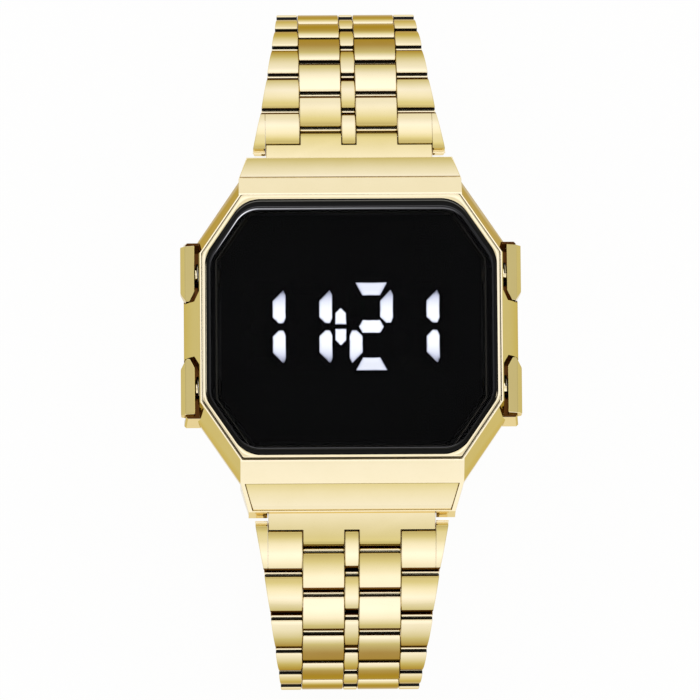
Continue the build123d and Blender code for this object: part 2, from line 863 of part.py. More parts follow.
def bracelet_link(y, z, slope, side, number):
    """A link: three pieces about its first two pins and two pieces reaching its third."""
    plane = side_plane(y, z, slope, side)
    near, far = outer_half_width(number), outer_half_width(number + 1)
    with BuildPart() as link:
        for x, width in (
            (-near, near - outer_inner_x),
            (-centre_half_width, 2 * centre_half_width),
            (outer_inner_x, near - outer_inner_x),
        ):
            extrude(link_profile(plane.offset(x), 0), amount=width)
        for x in (-middle_outer_x, middle_inner_x):
            extrude(link_profile(plane.offset(x), pitch / 2), amount=middle_width)
        # The outer faces narrow from one end of the link to the other.
        if near > far:
            flat = Plane(origin=plane.origin, x_dir=plane.x_dir, z_dir=plane.y_dir)
            with BuildSketch(flat.offset(-2 * link_radius)):
                wedge = [
                    (-link_radius, near),
                    (pitch - link_radius, far),
                    (pitch - link_radius, 2 * near),
                    (-link_radius, 2 * near),
                ]
                Polygon(*wedge, align=None)
                Polygon(*[(u, -v) for u, v in wedge], align=None)
            extrude(amount=4 * link_radius, mode=Mode.SUBTRACT)
        with BuildSketch(plane.offset(-near)):
            with Locations((0, 0), (pitch / 2, 0), (pitch, 0)):
                Circle(pin_radius + running_clearance)
        extrude(amount=2 * near, mode=Mode.SUBTRACT)
        with BuildSketch(plane.offset(-far + pin_inset)):
            with Locations((0, 0), (pitch / 2, 0)):
                Circle(pin_radius)
        extrude(amount=2 * (far - pin_inset))
    return link


ends = {}
for side, number, slopes in ((1, "12", slopes_12), (-1, "6", slopes_6)):
    y, z = side * first_pin_y, first_pin_z
    for count, angle in enumerate(slopes):
        save(bracelet_link(y, z, angle, side, count), f"link_{number}_{count + 1:02d}")
        y += side * pitch * math.cos(math.radians(angle))
        z -= pitch * math.sin(math.radians(angle))
    ends[number] = (y, z)

# Clasp: inner blade, outer blade and cover, folded on each other.
y12, level_z = ends["12"]
y6, z6 = ends["6"]
blade_pivot_y = y6 + blade_pivot_offset
blade_pivot_z = level_z + blade_pivot_height
cover_pivot_y = y12 - cover_pivot_offset
cover_pivot_z = level_z + cover_pivot_height
blade_clear = blade_knuckle_radius + moving_gap
cover_clear = cover_knuckle_radius + moving_gap


def plate(x0, x1, ya, yb, za, zb):
    """A rectangular plate between two corners, given from the clasp's pin level in Z."""
    with BuildSketch(Plane.YZ.offset(x0)) as face:
        with Locations(((ya + yb) / 2, level_z + (za + zb) / 2)):
            Rectangle(abs(yb - ya), zb - za)
    extrude(face.sketch, amount=x1 - x0)


def knuckle(x0, x1, y, z, radius):
    """A round knuckle about a pin, between two X values."""
    with BuildSketch(Plane.YZ.offset(x0)) as face:
        with Locations((y, z)):
            Circle(radius)
    extrude(face.sketch, amount=x1 - x0)


def bore(y, z, radius):
    """A bore across the whole clasp."""
    with BuildSketch(Plane.YZ.offset(-cover_half_width)) as face:
        with Locations((y, z)):
            Circle(radius)
    extrude(face.sketch, amount=2 * cover_half_width, mode=Mode.SUBTRACT)


with BuildPart() as clasp_inner_blade:
    fork_start = y12 - link_radius - moving_gap
    blade_end, tongue_end = blade_pivot_y + blade_clear, blade_pivot_y + 2 * blade_clear
    low, high = inner_blade_bottom, blade_top
    plate(-blade_half_width, blade_half_width, fork_start, blade_end, low, high)
    plate(-fork_outer_x, fork_outer_x, fork_start, y12 - fork_length, low, high)
    for x0, x1 in ((ear_inner_x, fork_outer_x), (-fork_outer_x, -ear_inner_x)):
        plate(x0, x1, y12, y12 - fork_length, 0, high)
        knuckle(x0, x1, y12, level_z, fork_radius)
    plate(-tongue_half_width, tongue_half_width, blade_pivot_y, tongue_end, low, high)
    tongue = (-tongue_half_width, tongue_half_width)
    knuckle(*tongue, blade_pivot_y, blade_pivot_z, blade_knuckle_radius)
    bore(y12, level_z, pin_radius + running_clearance)
    bore(blade_pivot_y, blade_pivot_z, pin_radius + running_clearance)
save(clasp_inner_blade, "clasp_inner_blade")

outer_blade_top = outer_blade_bottom + blade_thickness
with BuildPart() as clasp_outer_blade:
    plate(
        -blade_half_width,
        blade_half_width,
        blade_pivot_y + blade_clear,
        cover_pivot_y - cover_clear,
        outer_blade_bottom,
        outer_blade_top,
    )
    fork_x = tongue_half_width + column_gap
    fork_end = blade_pivot_y + 2 * blade_clear
    for x0, x1 in ((fork_x, blade_half_width), (-blade_half_width, -fork_x)):
        plate(x0, x1, blade_pivot_y, fork_end, outer_blade_bottom, outer_blade_top)
        knuckle(x0, x1, blade_pivot_y, blade_pivot_z, blade_knuckle_radius)
    plate(
        -tongue_half_width,
        tongue_half_width,
        cover_pivot_y - 2 * cover_clear,
        cover_pivot_y,
        outer_blade_bottom,
        outer_blade_top,
    )
    knuckle(-tongue_half_width, tongue_half_width, cover_pivot_y, cover_pivot_z, cover_knuckle_radius)
    bore(blade_pivot_y, blade_pivot_z, pin_radius + running_clearance)
    bore(cover_pivot_y, cover_pivot_z, pin_radius + running_clearance)
save(clasp_outer_blade, "clasp_outer_blade")

floor_top = floor_bottom + blade_thickness
with BuildPart() as clasp_cover:
    plate(
        -cover_half_width,
        cover_half_width,
        blade_pivot_y - floor_notch_offset,
        cover_pivot_y,
        floor_bottom,
        floor_top,
    )
    wall_x = cover_half_width - cover_wall
    for x0, x1 in ((wall_x, cover_half_width), (-cover_half_width, -wall_x)):
        plate(x0, x1, y6 + link_radius, cover_pivot_y, floor_bottom, cover_wall_top)
    for x0, x1 in ((ear_inner_x, cover_half_width), (-cover_half_width, -ear_inner_x)):
        plate(x0, x1, y6, y6 + ear_root, -link_radius, 0)
        plate(x0, x1, y6 + link_radius, y6 + ear_root, floor_bottom, 0)
        knuckle(x0, x1, y6, z6, link_radius)
    # The outer blade's knuckle turns in a window of the floor, between two ears.
    plate_window = tongue_half_width + column_gap
    with BuildSketch(Plane.XY.offset(level_z + floor_bottom)):
        with Locations((0, cover_pivot_y)):
            Rectangle(2 * plate_window, 2 * cover_clear)
    extrude(amount=blade_thickness, mode=Mode.SUBTRACT)
    for x0, x1 in ((plate_window, cover_half_width), (-cover_half_width, -plate_window)):
        knuckle(x0, x1, cover_pivot_y, cover_pivot_z, -cover_pivot_height)
    bore(cover_pivot_y, cover_pivot_z, pin_radius + running_clearance)
    bore(y6, z6, pin_radius + running_clearance)
save(clasp_cover, "clasp_cover")

with BuildPart() as clasp_pin_blade:
    cross_pin(blade_pivot_y, blade_pivot_z, pin_radius, blade_half_width)
save(clasp_pin_blade, "clasp_pin_blade")

with BuildPart() as clasp_pin_cover:
    cross_pin(cover_pivot_y, cover_pivot_z, pin_radius, cover_half_width)
save(clasp_pin_cover, "clasp_pin_cover")

with BuildPart() as clasp_bar_12:
    cross_pin(y12, level_z, pin_radius, fork_outer_x)
save(clasp_bar_12, "clasp_bar_12")

with BuildPart() as clasp_bar_6:
    cross_pin(y6, z6, pin_radius, cover_bar_end)
save(clasp_bar_6, "clasp_bar_6")
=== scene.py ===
"""Looks of an LED wristwatch with a gold-plated case and bracelet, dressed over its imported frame.

Lengths here are millimetres until a mesh is written, where MM turns them into metres.
+Z leaves the dial, +Y points to 12 o'clock and +X to 3 o'clock.
"""

import json
import logging
import math
from dataclasses import dataclass
from enum import Enum
from typing import ClassVar

import bmesh
import bpy
import numpy as np
from mathutils import Matrix, Vector


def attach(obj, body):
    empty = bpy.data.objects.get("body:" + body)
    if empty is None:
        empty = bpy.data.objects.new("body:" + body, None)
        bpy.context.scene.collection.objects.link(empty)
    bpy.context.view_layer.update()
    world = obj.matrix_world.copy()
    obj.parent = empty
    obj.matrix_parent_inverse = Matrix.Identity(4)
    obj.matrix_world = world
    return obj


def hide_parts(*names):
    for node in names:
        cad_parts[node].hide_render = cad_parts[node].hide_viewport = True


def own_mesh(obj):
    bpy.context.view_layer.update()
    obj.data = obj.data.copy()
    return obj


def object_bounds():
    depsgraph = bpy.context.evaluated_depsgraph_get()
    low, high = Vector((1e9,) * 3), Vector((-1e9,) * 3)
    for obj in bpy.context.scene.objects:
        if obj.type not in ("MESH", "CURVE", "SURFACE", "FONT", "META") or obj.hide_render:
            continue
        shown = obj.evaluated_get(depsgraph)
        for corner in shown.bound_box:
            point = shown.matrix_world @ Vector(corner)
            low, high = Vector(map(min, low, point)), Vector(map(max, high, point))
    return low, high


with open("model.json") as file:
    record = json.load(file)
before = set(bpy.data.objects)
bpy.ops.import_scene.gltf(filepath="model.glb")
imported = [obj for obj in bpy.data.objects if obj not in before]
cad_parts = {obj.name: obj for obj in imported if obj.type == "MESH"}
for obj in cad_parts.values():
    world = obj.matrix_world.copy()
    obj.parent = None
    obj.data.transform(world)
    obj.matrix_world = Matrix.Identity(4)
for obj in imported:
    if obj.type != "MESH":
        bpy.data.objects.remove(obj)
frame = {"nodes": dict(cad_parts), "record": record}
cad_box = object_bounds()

MM = 0.001
MERGE = 0.0005
THINNEST = 0.0001
NOISE_SPAN = (0.3, 0.7)
LOG = logging.getLogger("led_watch")
Grid = np.ndarray
Socket = bpy.types.NodeSocket
Tree = bpy.types.NodeTree
Material = bpy.types.Material
Piece = bpy.types.Object
Span = tuple[float, float]
Triple = tuple[float, float, float]
Octagon = tuple[float, float, float, float]


def linear(code: str) -> tuple[float, float, float, float]:
    """Turns an sRGB hex colour into linear light.

    Args:
        code: The colour, such as "#D9BE72".

    Returns:
        Red, green, blue and alpha.
    """
    values = np.array([int(code[i : i + 2], 16) / 255 for i in (1, 3, 5)])
    light = np.where(values <= 0.04045, values / 12.92, ((values + 0.055) / 1.055) ** 2.4)
    return (*[float(v) for v in light], 1.0)


def add_node(tree: Tree, kind: str, inputs: dict | None = None, **settings) -> bpy.types.Node:
    """Adds a shader node with its settings and links.

    Args:
        tree: The node tree.
        kind: The node's type name.
        inputs: Socket name or index to a value, or to an output socket to link from.
        **settings: The node's own attributes.

    Returns:
        The new node.
    """
    node = tree.nodes.new(kind)
    for name, value in settings.items():
        setattr(node, name, value)
    for key, value in (inputs or {}).items():
        if isinstance(value, Socket):
            tree.links.new(value, node.inputs[key])
        else:
            node.inputs[key].default_value = value
    return node


def empty_material(name: str) -> tuple[Material, Tree]:
    """Makes a material whose node tree holds nothing yet."""
    material = bpy.data.materials.new(name)
    material.use_nodes = True
    material.node_tree.nodes.clear()
    return material, material.node_tree


def show(tree: Tree, kind: str, inputs: dict) -> None:
    """Adds a shader and sends it to the material's output."""
    shader = add_node(tree, kind, inputs)
    add_node(tree, "ShaderNodeOutputMaterial", {0: shader.outputs[0]})


def object_place(tree: Tree) -> Socket:
    """Gives the place on the object."""
    return add_node(tree, "ShaderNodeTexCoord").outputs["Object"]


def attribute(tree: Tree, name: str) -> Socket:
    """Gives the value of one of the mesh's attributes."""
    return add_node(tree, "ShaderNodeAttribute", attribute_name=name).outputs["Fac"]


def calculate(tree: Tree, operation: str, *values: float | Socket) -> Socket:
    """Adds one step of arithmetic on numbers or sockets."""
    return add_node(tree, "ShaderNodeMath", dict(enumerate(values)), operation=operation).outputs[0]


def noise(tree: Tree, size: float, detail: float = 2.0, place: Socket | None = None) -> Socket:
    """Adds a noise of a size in millimetres, read at a place or else at the place on the object."""
    inputs = {"Vector": place or object_place(tree), "Scale": 1 / (size * MM), "Detail": detail}
    return add_node(tree, "ShaderNodeTexNoise", inputs).outputs["Fac"]


def spread(tree: Tree, value: Socket, to: Span, source: Span = (0.0, 1.0), **settings) -> Socket:
    """Carries a value from one span over to another."""
    ends = {"From Min": source[0], "From Max": source[1], "To Min": to[0], "To Max": to[1]}
    return add_node(tree, "ShaderNodeMapRange", {"Value": value, **ends}, **settings).outputs[0]


def bump(tree: Tree, height: Socket, depth: float, strength: float, **others: Socket) -> Socket:
    """Adds relief of a depth in millimetres."""
    inputs = {"Height": height, "Distance": depth * MM, "Strength": strength, **others}
    return add_node(tree, "ShaderNodeBump", inputs).outputs[0]


def ramp(tree: Tree, factor: Socket, stops: dict[float, tuple]) -> Socket:
    """Adds a colour ramp with its stops.

    Args:
        tree: The node tree.
        factor: The socket that drives the ramp.
        stops: Position to linear colour.

    Returns:
        The ramp's colour socket.
    """
    node = add_node(tree, "ShaderNodeValToRGB", {0: factor})
    elements = node.color_ramp.elements
    places = sorted(stops)
    elements[0].position, elements[0].color = places[0], stops[places[0]]
    elements[1].position, elements[1].color = places[-1], stops[places[-1]]
    for place in places[1:-1]:
        elements.new(place).color = stops[place]
    return node.outputs[0]


def tinted(tree: Tree, factor: Socket, codes: dict[float, str]) -> Socket:
    """Adds a colour ramp with hex colours."""
    return ramp(tree, factor, {place: linear(code) for place, code in codes.items()})


def two_tones(tree: Tree, factor: Socket, shade: str, colour: str) -> Socket:
    """Blends a shade into a colour over the middle of a noise."""
    return tinted(tree, factor, dict(zip(NOISE_SPAN, (shade, colour))))


@dataclass(frozen=True)
class PolishedGold:
    """Yellow gold plated on polished steel: a soft-edged mirror with a faint polishing haze.

    The mesh's glow attribute paints light and shade into the plating's tone, from pale gold as
    painted highlight to deep gold as painted shade. A fade paints deeper shade further along Y.
    """

    name: str = "gold_plate_polished"
    pale: str = "#FBEECB"
    middle: str = "#CFBE7B"
    deep: str = "#A98948"
    rim: str = "#E6D4A0"
    tone_places: Triple = (0.02, 0.5, 1.0)
    mottle: float = 0.06
    fade_span: Span = (0.0, 0.0)
    fade: float = 0.0
    roughness: float = 0.03
    haze: float = 0.03
    haze_size: float = 2.5
    haze_detail: float = 3.0
    grain_size: float = 0.12
    grain_depth: float = 0.0001
    grain_strength: float = 0.6
    edge: float = 0.09
    edge_samples: int = 6

    def material(self) -> Material:
        """Builds the material.

        Returns:
            The gold, with wide haze in its roughness and fine grain in its bump.
        """
        material, tree = empty_material(self.name)
        cloud = noise(tree, self.haze_size, self.haze_detail)
        # The tone is painted light and shade from the glow attribute, with a random mottle.
        tone = calculate(tree, "MULTIPLY_ADD", cloud, self.mottle, attribute(tree, "glow"))
        # The fade paints deeper shade further out along Y.
        if self.fade:
            split = add_node(tree, "ShaderNodeSeparateXYZ", {0: object_place(tree)})
            along = calculate(tree, "ABSOLUTE", split.outputs[1])
            start, end = self.fade_span
            more = spread(tree, along, (0.0, self.fade), (start * MM, end * MM))
            tone = calculate(tree, "ADD", tone, more)
        codes = dict(zip(self.tone_places, (self.pale, self.middle, self.deep)))
        soft = add_node(tree, "ShaderNodeBevel", {"Radius": self.edge * MM}, samples=self.edge_samples)
        grain = noise(tree, self.grain_size)
        inputs = {
            "Base Color": tinted(tree, tone, codes),
            "Metallic": 1.0,
            "Roughness": spread(tree, cloud, (self.roughness, self.roughness + self.haze)),
            "Specular Tint": linear(self.rim),
            "Normal": bump(tree, grain, self.grain_depth, self.grain_strength, Normal=soft.outputs[0]),
        }
        show(tree, "ShaderNodeBsdfPrincipled", inputs)
        return material


@dataclass(frozen=True)
class Moulded:
    """Moulded plastic or rubber: a dull skin with a fine spark-eroded grain."""

    name: str
    colour: str
    shade: str
    roughness: float = 0.5
    gloss: float = 0.5
    rough_span: Span = (-0.08, 0.08)
    metallic: float = 0.0
    along: Triple = (1.0, 1.0, 1.0)
    grain_size: float = 0.2
    grain_detail: float = 4.0
    depth: float = 0.01
    strength: float = 0.5

    def material(self) -> Material:
        """Builds the material.

        Returns:
            The plastic or metal, with its grain in colour, roughness and bump.
        """
        material, tree = empty_material(self.name)
        stretched = add_node(tree, "ShaderNodeMapping", {"Vector": object_place(tree), "Scale": self.along})
        grain = noise(tree, self.grain_size, self.grain_detail, stretched.outputs[0])
        low, high = (self.roughness + step for step in self.rough_span)
        inputs = {
            "Base Color": two_tones(tree, grain, self.shade, self.colour),
            "Metallic": self.metallic,
            "Specular IOR Level": self.gloss,
            "Roughness": spread(tree, grain, (low, high)),
            "Normal": bump(tree, grain, self.depth, self.strength),
        }
        show(tree, "ShaderNodeBsdfPrincipled", inputs)
        return material


@dataclass(frozen=True)
class BrushedMetal(Moulded):
    """Metal brushed along one axis: its grain is long fine scratches that spread the light."""

    roughness: float = 0.28
    rough_span: Span = (-0.06, 0.08)
    metallic: float = 1.0
    along: Triple = (1.0, 0.02, 1.0)
    grain_size: float = 0.12
    grain_detail: float = 3.0
    depth: float = 0.002
    strength: float = 0.7


@dataclass(frozen=True)
class SmokedGlass:
    """Smoked mineral glass: nearly black, clear enough for the lit strokes under it."""

    name: str = "mineral_glass_smoked"
    tint: str = "#A0A1A3"
    mirror: str = "#FFFFFF"
    coating: float = 0.07
    shine: float = 24.0
    index: float = 1.5
    smear_size: float = 6.0
    roughness: Span = (0.02, 0.05)

    def material(self) -> Material:
        """Builds the material.

        Returns:
            Tinted clear glass under a sharp reflection, which the coating holds down except
            where the mesh's glow attribute paints a highlight on the bevel.
        """
        material, tree = empty_material(self.name)
        rough = spread(tree, noise(tree, self.smear_size), self.roughness)
        edge = add_node(tree, "ShaderNodeFresnel", {"IOR": self.index})
        # The glow attribute paints highlights by raising the mirror's share.
        coating_and_highlight = calculate(tree, "MULTIPLY_ADD", attribute(tree, "glow"), self.shine, self.coating)
        clear = add_node(tree, "ShaderNodeBsdfTransparent", {"Color": linear(self.tint)})
        mirror = {"Color": linear(self.mirror), "Roughness": rough}
        gloss = add_node(tree, "ShaderNodeBsdfAnisotropic", mirror)
        share = calculate(tree, "MULTIPLY", edge.outputs[0], coating_and_highlight)
        show(tree, "ShaderNodeMixShader", {0: share, 1: clear.outputs[0], 2: gloss.outputs[0]})
        return material


@dataclass(frozen=True)
class LitGuide:
    """A moulded light guide that is lit from below: white, greyer where the light thins out."""

    name: str = "light_guide_lit"
    strength: float = 8.4
    tones: ClassVar[dict[float, str]] = {0.0: "#15161C", 0.35: "#6E7080", 0.7: "#CFD1E0", 1.0: "#FFFFFF"}

    def material(self) -> Material:
        """Builds the material.

        Returns:
            A glow whose colour follows the mesh's own glow attribute.
        """
        material, tree = empty_material(self.name)
        colour = tinted(tree, attribute(tree, "glow"), self.tones)
        show(tree, "ShaderNodeEmission", {"Color": colour, "Strength": self.strength})
        return material


class Finishes:
    """Every finish of the watch and the materials painted as shade, built once: by_slot holds the one that
    each slot has as a rule.
    """

    def __init__(self) -> None:
        """Builds the materials."""
        self.gold = PolishedGold().material()
        # Black painted onto walls that lie in shade: the bracelet pieces' near walls and the rim's outer
        # wall.
        self.painted_shade = Moulded("gold_plate_painted_shade_black", "#0B0704", "#050302", 0.35, gloss=0.2).material()
        # Brown gold painted as shade into the bracelet's valleys and the end panels' grooves.
        self.brown_shade = PolishedGold("gold_plate_painted_shade_brown", "#6A461A", "#48280C", "#301804").material()
        # Deep brown painted inside the pushers' slots as shade.
        self.slot_shade = PolishedGold("gold_plate_painted_shade_deep", "#4C2E12", "#341C0A", "#221004").material()
        # The end links are painted with deeper shade towards their far ends along Y.
        shaded_end = PolishedGold("gold_plate_polished_end_link", fade_span=(18.8, 22.6), fade=0.5)
        self.end_gold = shaded_end.material()
        self.glass = SmokedGlass().material()
        # The bevel's darker tint is painted shade.
        self.glass_edge = SmokedGlass("mineral_glass_bevel", tint="#303031", coating=0.25).material()
        self.lit = LitGuide().material()
        across, up = (0.05, 1, 1), (1, 1, 0.05)
        others = {
            "dark_light_guide": Moulded("light_guide_dark", "#080809", "#050506", gloss=0.04),
            "black_moulded_plastic": Moulded("abs_black_moulded", "#070708", "#040405", 0.6, gloss=0.04),
            "grey_moulded_plastic": Moulded("abs_grey_moulded", "#6A6B6E", "#5C5D60"),
            "black_silicone": Moulded("silicone_black", "#0C0C0D", "#060606", 0.7),
            "green_board": Moulded("glass_fibre_board", "#1F6B3C", "#174F2D", 0.4),
            "black_component": Moulded("epoxy_moulded", "#1A1A1B", "#121213"),
            "brushed_stainless_steel": BrushedMetal("stainless_steel_brushed", "#C9C8C4", "#B9B8B3"),
            "nickel_battery_can": BrushedMetal("nickel_can_drawn", "#C4C3BD", "#B4B3AE", along=up),
            "copper_alloy_spring": BrushedMetal("spring_bronze_rolled", "#C79A5B", "#B5874B", along=across),
        }
        self.by_slot = {slot: finish.material() for slot, finish in others.items()}
        self.steel = self.by_slot["brushed_stainless_steel"]
        self.by_slot["gold_plated_steel"] = self.gold
        self.by_slot["smoked_mineral_glass"] = self.glass
        self.by_slot["white_light_guide"] = self.lit


def dress(node: str, material: Material) -> None:
    """Gives a CAD node its material."""
    mesh = frame["nodes"][node].data
    mesh.materials.clear()
    mesh.materials.append(material)


def grow(value: Grid, start: float, length: float) -> Grid:
    """Grows from 0 at a start to 1 a length further on."""
    return np.clip((value - start) / length, 0, 1)


def arch(height: float, share: float | Grid) -> float | Grid:
    """Rises from 0 to a height and falls back to 0 as the share goes from 0 to 1."""
    return height * 4 * share * (1 - share)


def face_values(mesh: bpy.types.Mesh, name: str) -> Grid:
    """Reads a property of three numbers of each face.

    Args:
        mesh: The mesh.
        name: The property.

    Returns:
        A row for each face.
    """
    values = np.empty(len(mesh.polygons) * 3, np.float32)
    mesh.polygons.foreach_get(name, values)
    return values.reshape(-1, 3)


class Surface:
    """Gathers grids of points and turns them into one closed mesh."""

    def __init__(self) -> None:
        """Starts with no points."""
        self.parts: list[tuple[Grid, Grid, Grid, Grid]] = []
        self.count = 0

    def grid(self, points: Grid, around: bool = True, slot: int | Grid = 0, glow: float | Grid = 0.0) -> None:
        """Adds a grid of points and the faces between them.

        Args:
            points: Rows, columns and XYZ in millimetres.
            around: Whether the last column joins the first.
            slot: The material slot of the faces, or an array of slots that fits them.
            glow: The points' glow, or an array that fits them.
        """
        rows, columns = points.shape[:2]
        index = np.arange(rows * columns).reshape(rows, columns) + self.count
        if around:
            index = np.concatenate([index, index[:, :1]], axis=1)
        quads = np.stack([index[:-1, :-1], index[:-1, 1:], index[1:, 1:], index[1:, :-1]], axis=-1)
        slots = np.broadcast_to(slot, quads.shape[:2]).ravel()
        glows = np.broadcast_to(glow, (rows, columns)).ravel()
        self.parts.append((points.reshape(-1, 3), quads.reshape(-1, 4), slots, glows))
        self.count += rows * columns

    def cap(self, ring: Grid, glow: float = 0.0) -> None:
        """Closes a flat ring with a fan to its middle."""
        middle = np.broadcast_to(ring.mean(axis=0), ring.shape)
        self.grid(np.stack([ring, middle]), glow=glow)

    def build(self, name: str, materials: list[Material], crease: float) -> Piece:
        """Writes the mesh, merged and smooth up to an angle.

        Args:
            name: The piece's name.
            materials: The materials of its slots.
            crease: The angle in degrees above which an edge stays sharp.

        Returns:
            The object, at the origin.
        """
        points, faces, slots, glows = (np.concatenate(part) for part in zip(*self.parts))
        mesh = bpy.data.meshes.new(name)
        mesh.from_pydata((points * MM).tolist(), [], faces.tolist())
        mesh.polygons.foreach_set("material_index", slots.astype(np.int32))
        layer = mesh.attributes.new("glow", "FLOAT", "POINT")
        layer.data.foreach_set("value", glows.astype(np.float32))
        return finish_mesh(mesh, name, materials, crease)


def finish_mesh(mesh: bpy.types.Mesh, name: str, materials: list[Material], crease: float) -> Piece:
    """Merges a mesh's doubles, turns its faces outwards and links it as an object.

    Args:
        mesh: The mesh, in metres, without materials.
        name: The mesh's and the object's name.
        materials: The materials of its slots.
        crease: The angle in degrees above which an edge stays sharp.

    Returns:
        The object, at the origin.
    """
    work = bmesh.new()
    work.from_mesh(mesh)
    bmesh.ops.remove_doubles(work, verts=work.verts, dist=MERGE * MM)
    bmesh.ops.dissolve_degenerate(work, edges=work.edges, dist=THINNEST * MM)
    bmesh.ops.recalc_face_normals(work, faces=work.faces)
    work.to_mesh(mesh)
    work.free()
    mesh.shade_smooth()
    mesh.set_sharp_from_angle(angle=math.radians(crease))
    mesh.name = name
    for material in materials:
        mesh.materials.append(material)
    piece = bpy.data.objects.new(name, mesh)
    bpy.context.scene.collection.objects.link(piece)
    return piece


def round_corners(corners: Grid, radius: float, steps: int) -> Grid:
    """Rounds a convex outline: each corner becomes an arc that touches both its edges.

    Args:
        corners: The corners, anticlockwise, as rows of two.
        radius: The arcs' radius.
        steps: Points on each arc.

    Returns:
        The outline's points, steps of them for each corner.
    """
    runs = [corners - np.roll(corners, 1, axis=0), np.roll(corners, -1, axis=0) - corners]
    runs = [run / np.linalg.norm(run, axis=1, keepdims=True) for run in runs]
    normals = [np.stack([run[:, 1], -run[:, 0]], axis=1) for run in runs]
    dot = np.sum(normals[0] * normals[1], axis=1, keepdims=True)
    centre = corners - radius * (normals[0] + normals[1]) / (1 + dot)
    start, end = (np.arctan2(normal[:, 1], normal[:, 0]) for normal in normals)
    angle = start[:, None] + ((end - start) % (2 * math.pi))[:, None] * np.linspace(0, 1, steps)
    arc = np.stack([np.cos(angle), np.sin(angle)], axis=-1)
    return (centre[:, None] + radius * arc).reshape(-1, 2)


def at_height(outline: Grid, z: float | Grid) -> Grid:
    """Lifts a plan outline to a height."""
    return np.concatenate([outline, np.broadcast_to(np.reshape(z, (-1, 1)), (len(outline), 1))], axis=1)


@dataclass(frozen=True)
class CasePlan:
    """The octagon that case, bezel and lens share in plan."""

    corner_slope: float = 1.4734
    corner_points: int = 9

    def outline(self, half_width: float, half_length: float, reach: float, radius: float) -> Grid:
        """Works out a rounded octagon. Its four numbers are an Octagon.

        Args:
            half_width: Half its size along X.
            half_length: Half its size along Y.
            reach: Where its slanted sides cross the X axis.
            radius: Its corners' radius.

        Returns:
            The outline's points.
        """
        corner_x = reach - half_length / self.corner_slope
        corner_y = (reach - half_width) * self.corner_slope
        right = [(half_width, corner_y), (corner_x, half_length)]
        left = [(-x, y) for x, y in reversed(right)]
        corners = np.array(right + left + [(-x, -y) for x, y in right + left])
        return round_corners(corners, radius, self.corner_points)


@dataclass
class Crystal:
    """The lens: a flat coated top inside a bevel tinted dark as painted shade, with painted highlight lines.

    Each line has its share of the way in from the rim, its width, and its painted highlight's
    strengths: all round, and more at 12 o'clock, at 6 o'clock, at the glint and on the slanted side beside
    it.
    """

    plan: CasePlan
    rim: Octagon = (15.5, 13.75, 20.72, 3.3)
    bevel: Octagon = (0.42, 0.84, 0.62, 0.42)
    bottom: float = 8.3
    bevel_start: float = 9.22
    top: float = 9.42
    bevel_shift: float = 0.23
    plain_shares: tuple[float, ...] = (0.0, 0.45, 1.12)
    lines: tuple[tuple[float, float, tuple[float, ...]], ...] = (
        (0.16, 0.06, (0, 0.22, 0, 0, 0)),
        (0.76, 0.045, (0.05, 0.05, 0, 0, 0)),
        (0.98, 0.11, (0.02, 0.12, 0.07, 1.3, 0.07)),
    )
    far_span: Span = (11.9, 0.8)
    near_span: Span = (12.3, 0.8)
    glint: Span = (-12.6, 11.9)
    glint_area: float = 5.0
    slant_y: Span = (5.0, 6.0)
    slant_x: Span = (11.0, 3.0)

    def ring(self, share: float, z: float) -> Grid:
        """Works out the outline at a share of the way in from the rim, at a height."""
        outline = self.plan.outline(*(np.array(self.rim) - share * np.array(self.bevel)))
        return at_height(outline - (0, share * self.bevel_shift), z)

    def shine(self, share: float, ring: Grid) -> Grid:
        """Works out a ring's painted highlight: only a line's own ring has one.

        Args:
            share: The ring's place across the bevel.
            ring: Its points.

        Returns:
            A value from 0 to 1 for each point.
        """
        strengths = {line: own for line, _, own in self.lines}.get(share, (0.0,))
        x, y = ring[:, 0], ring[:, 1]
        far, near = grow(y, *self.far_span), grow(-y, *self.near_span)
        glint = np.exp(-((x - self.glint[0]) ** 2 + (y - self.glint[1]) ** 2) / self.glint_area)
        slant = grow(y, *self.slant_y) * grow(-x, *self.slant_x)
        parts = (np.ones(len(ring)), far, near, glint, slant)
        return np.clip(sum(strength * part for strength, part in zip(strengths, parts)), 0, 1)

    def build(self, finishes: Finishes) -> Piece:
        """Builds the lens: walls, then the bevel with its painted highlight lines, then the flat top.

        Args:
            finishes: The materials.

        Returns:
            The lens.
        """
        surface = Surface()
        surface.grid(np.stack([self.ring(0, self.bottom), self.ring(0, self.bevel_start)]), slot=1)
        highlight_rings = [line + step * width for line, width, _ in self.lines for step in (-1, 0, 1)]
        shares = sorted([*self.plain_shares, *highlight_rings])
        rings = []
        for share in shares:
            rise = math.sin(min(share, 1) * math.pi / 2) * (self.top - self.bevel_start)
            rings.append(self.ring(share, self.bevel_start + rise))
        # Painted highlights along the bevel's lines.
        glow = np.stack([self.shine(share, ring) for share, ring in zip(shares, rings)])
        surface.grid(np.stack(rings), slot=1, glow=glow)
        surface.cap(rings[-1])
        surface.cap(self.ring(0, self.bottom))
        lens = surface.build("crystal", [finishes.glass, finishes.glass_edge], crease=30)
        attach(lens, "head")
        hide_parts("lens")
        return lens


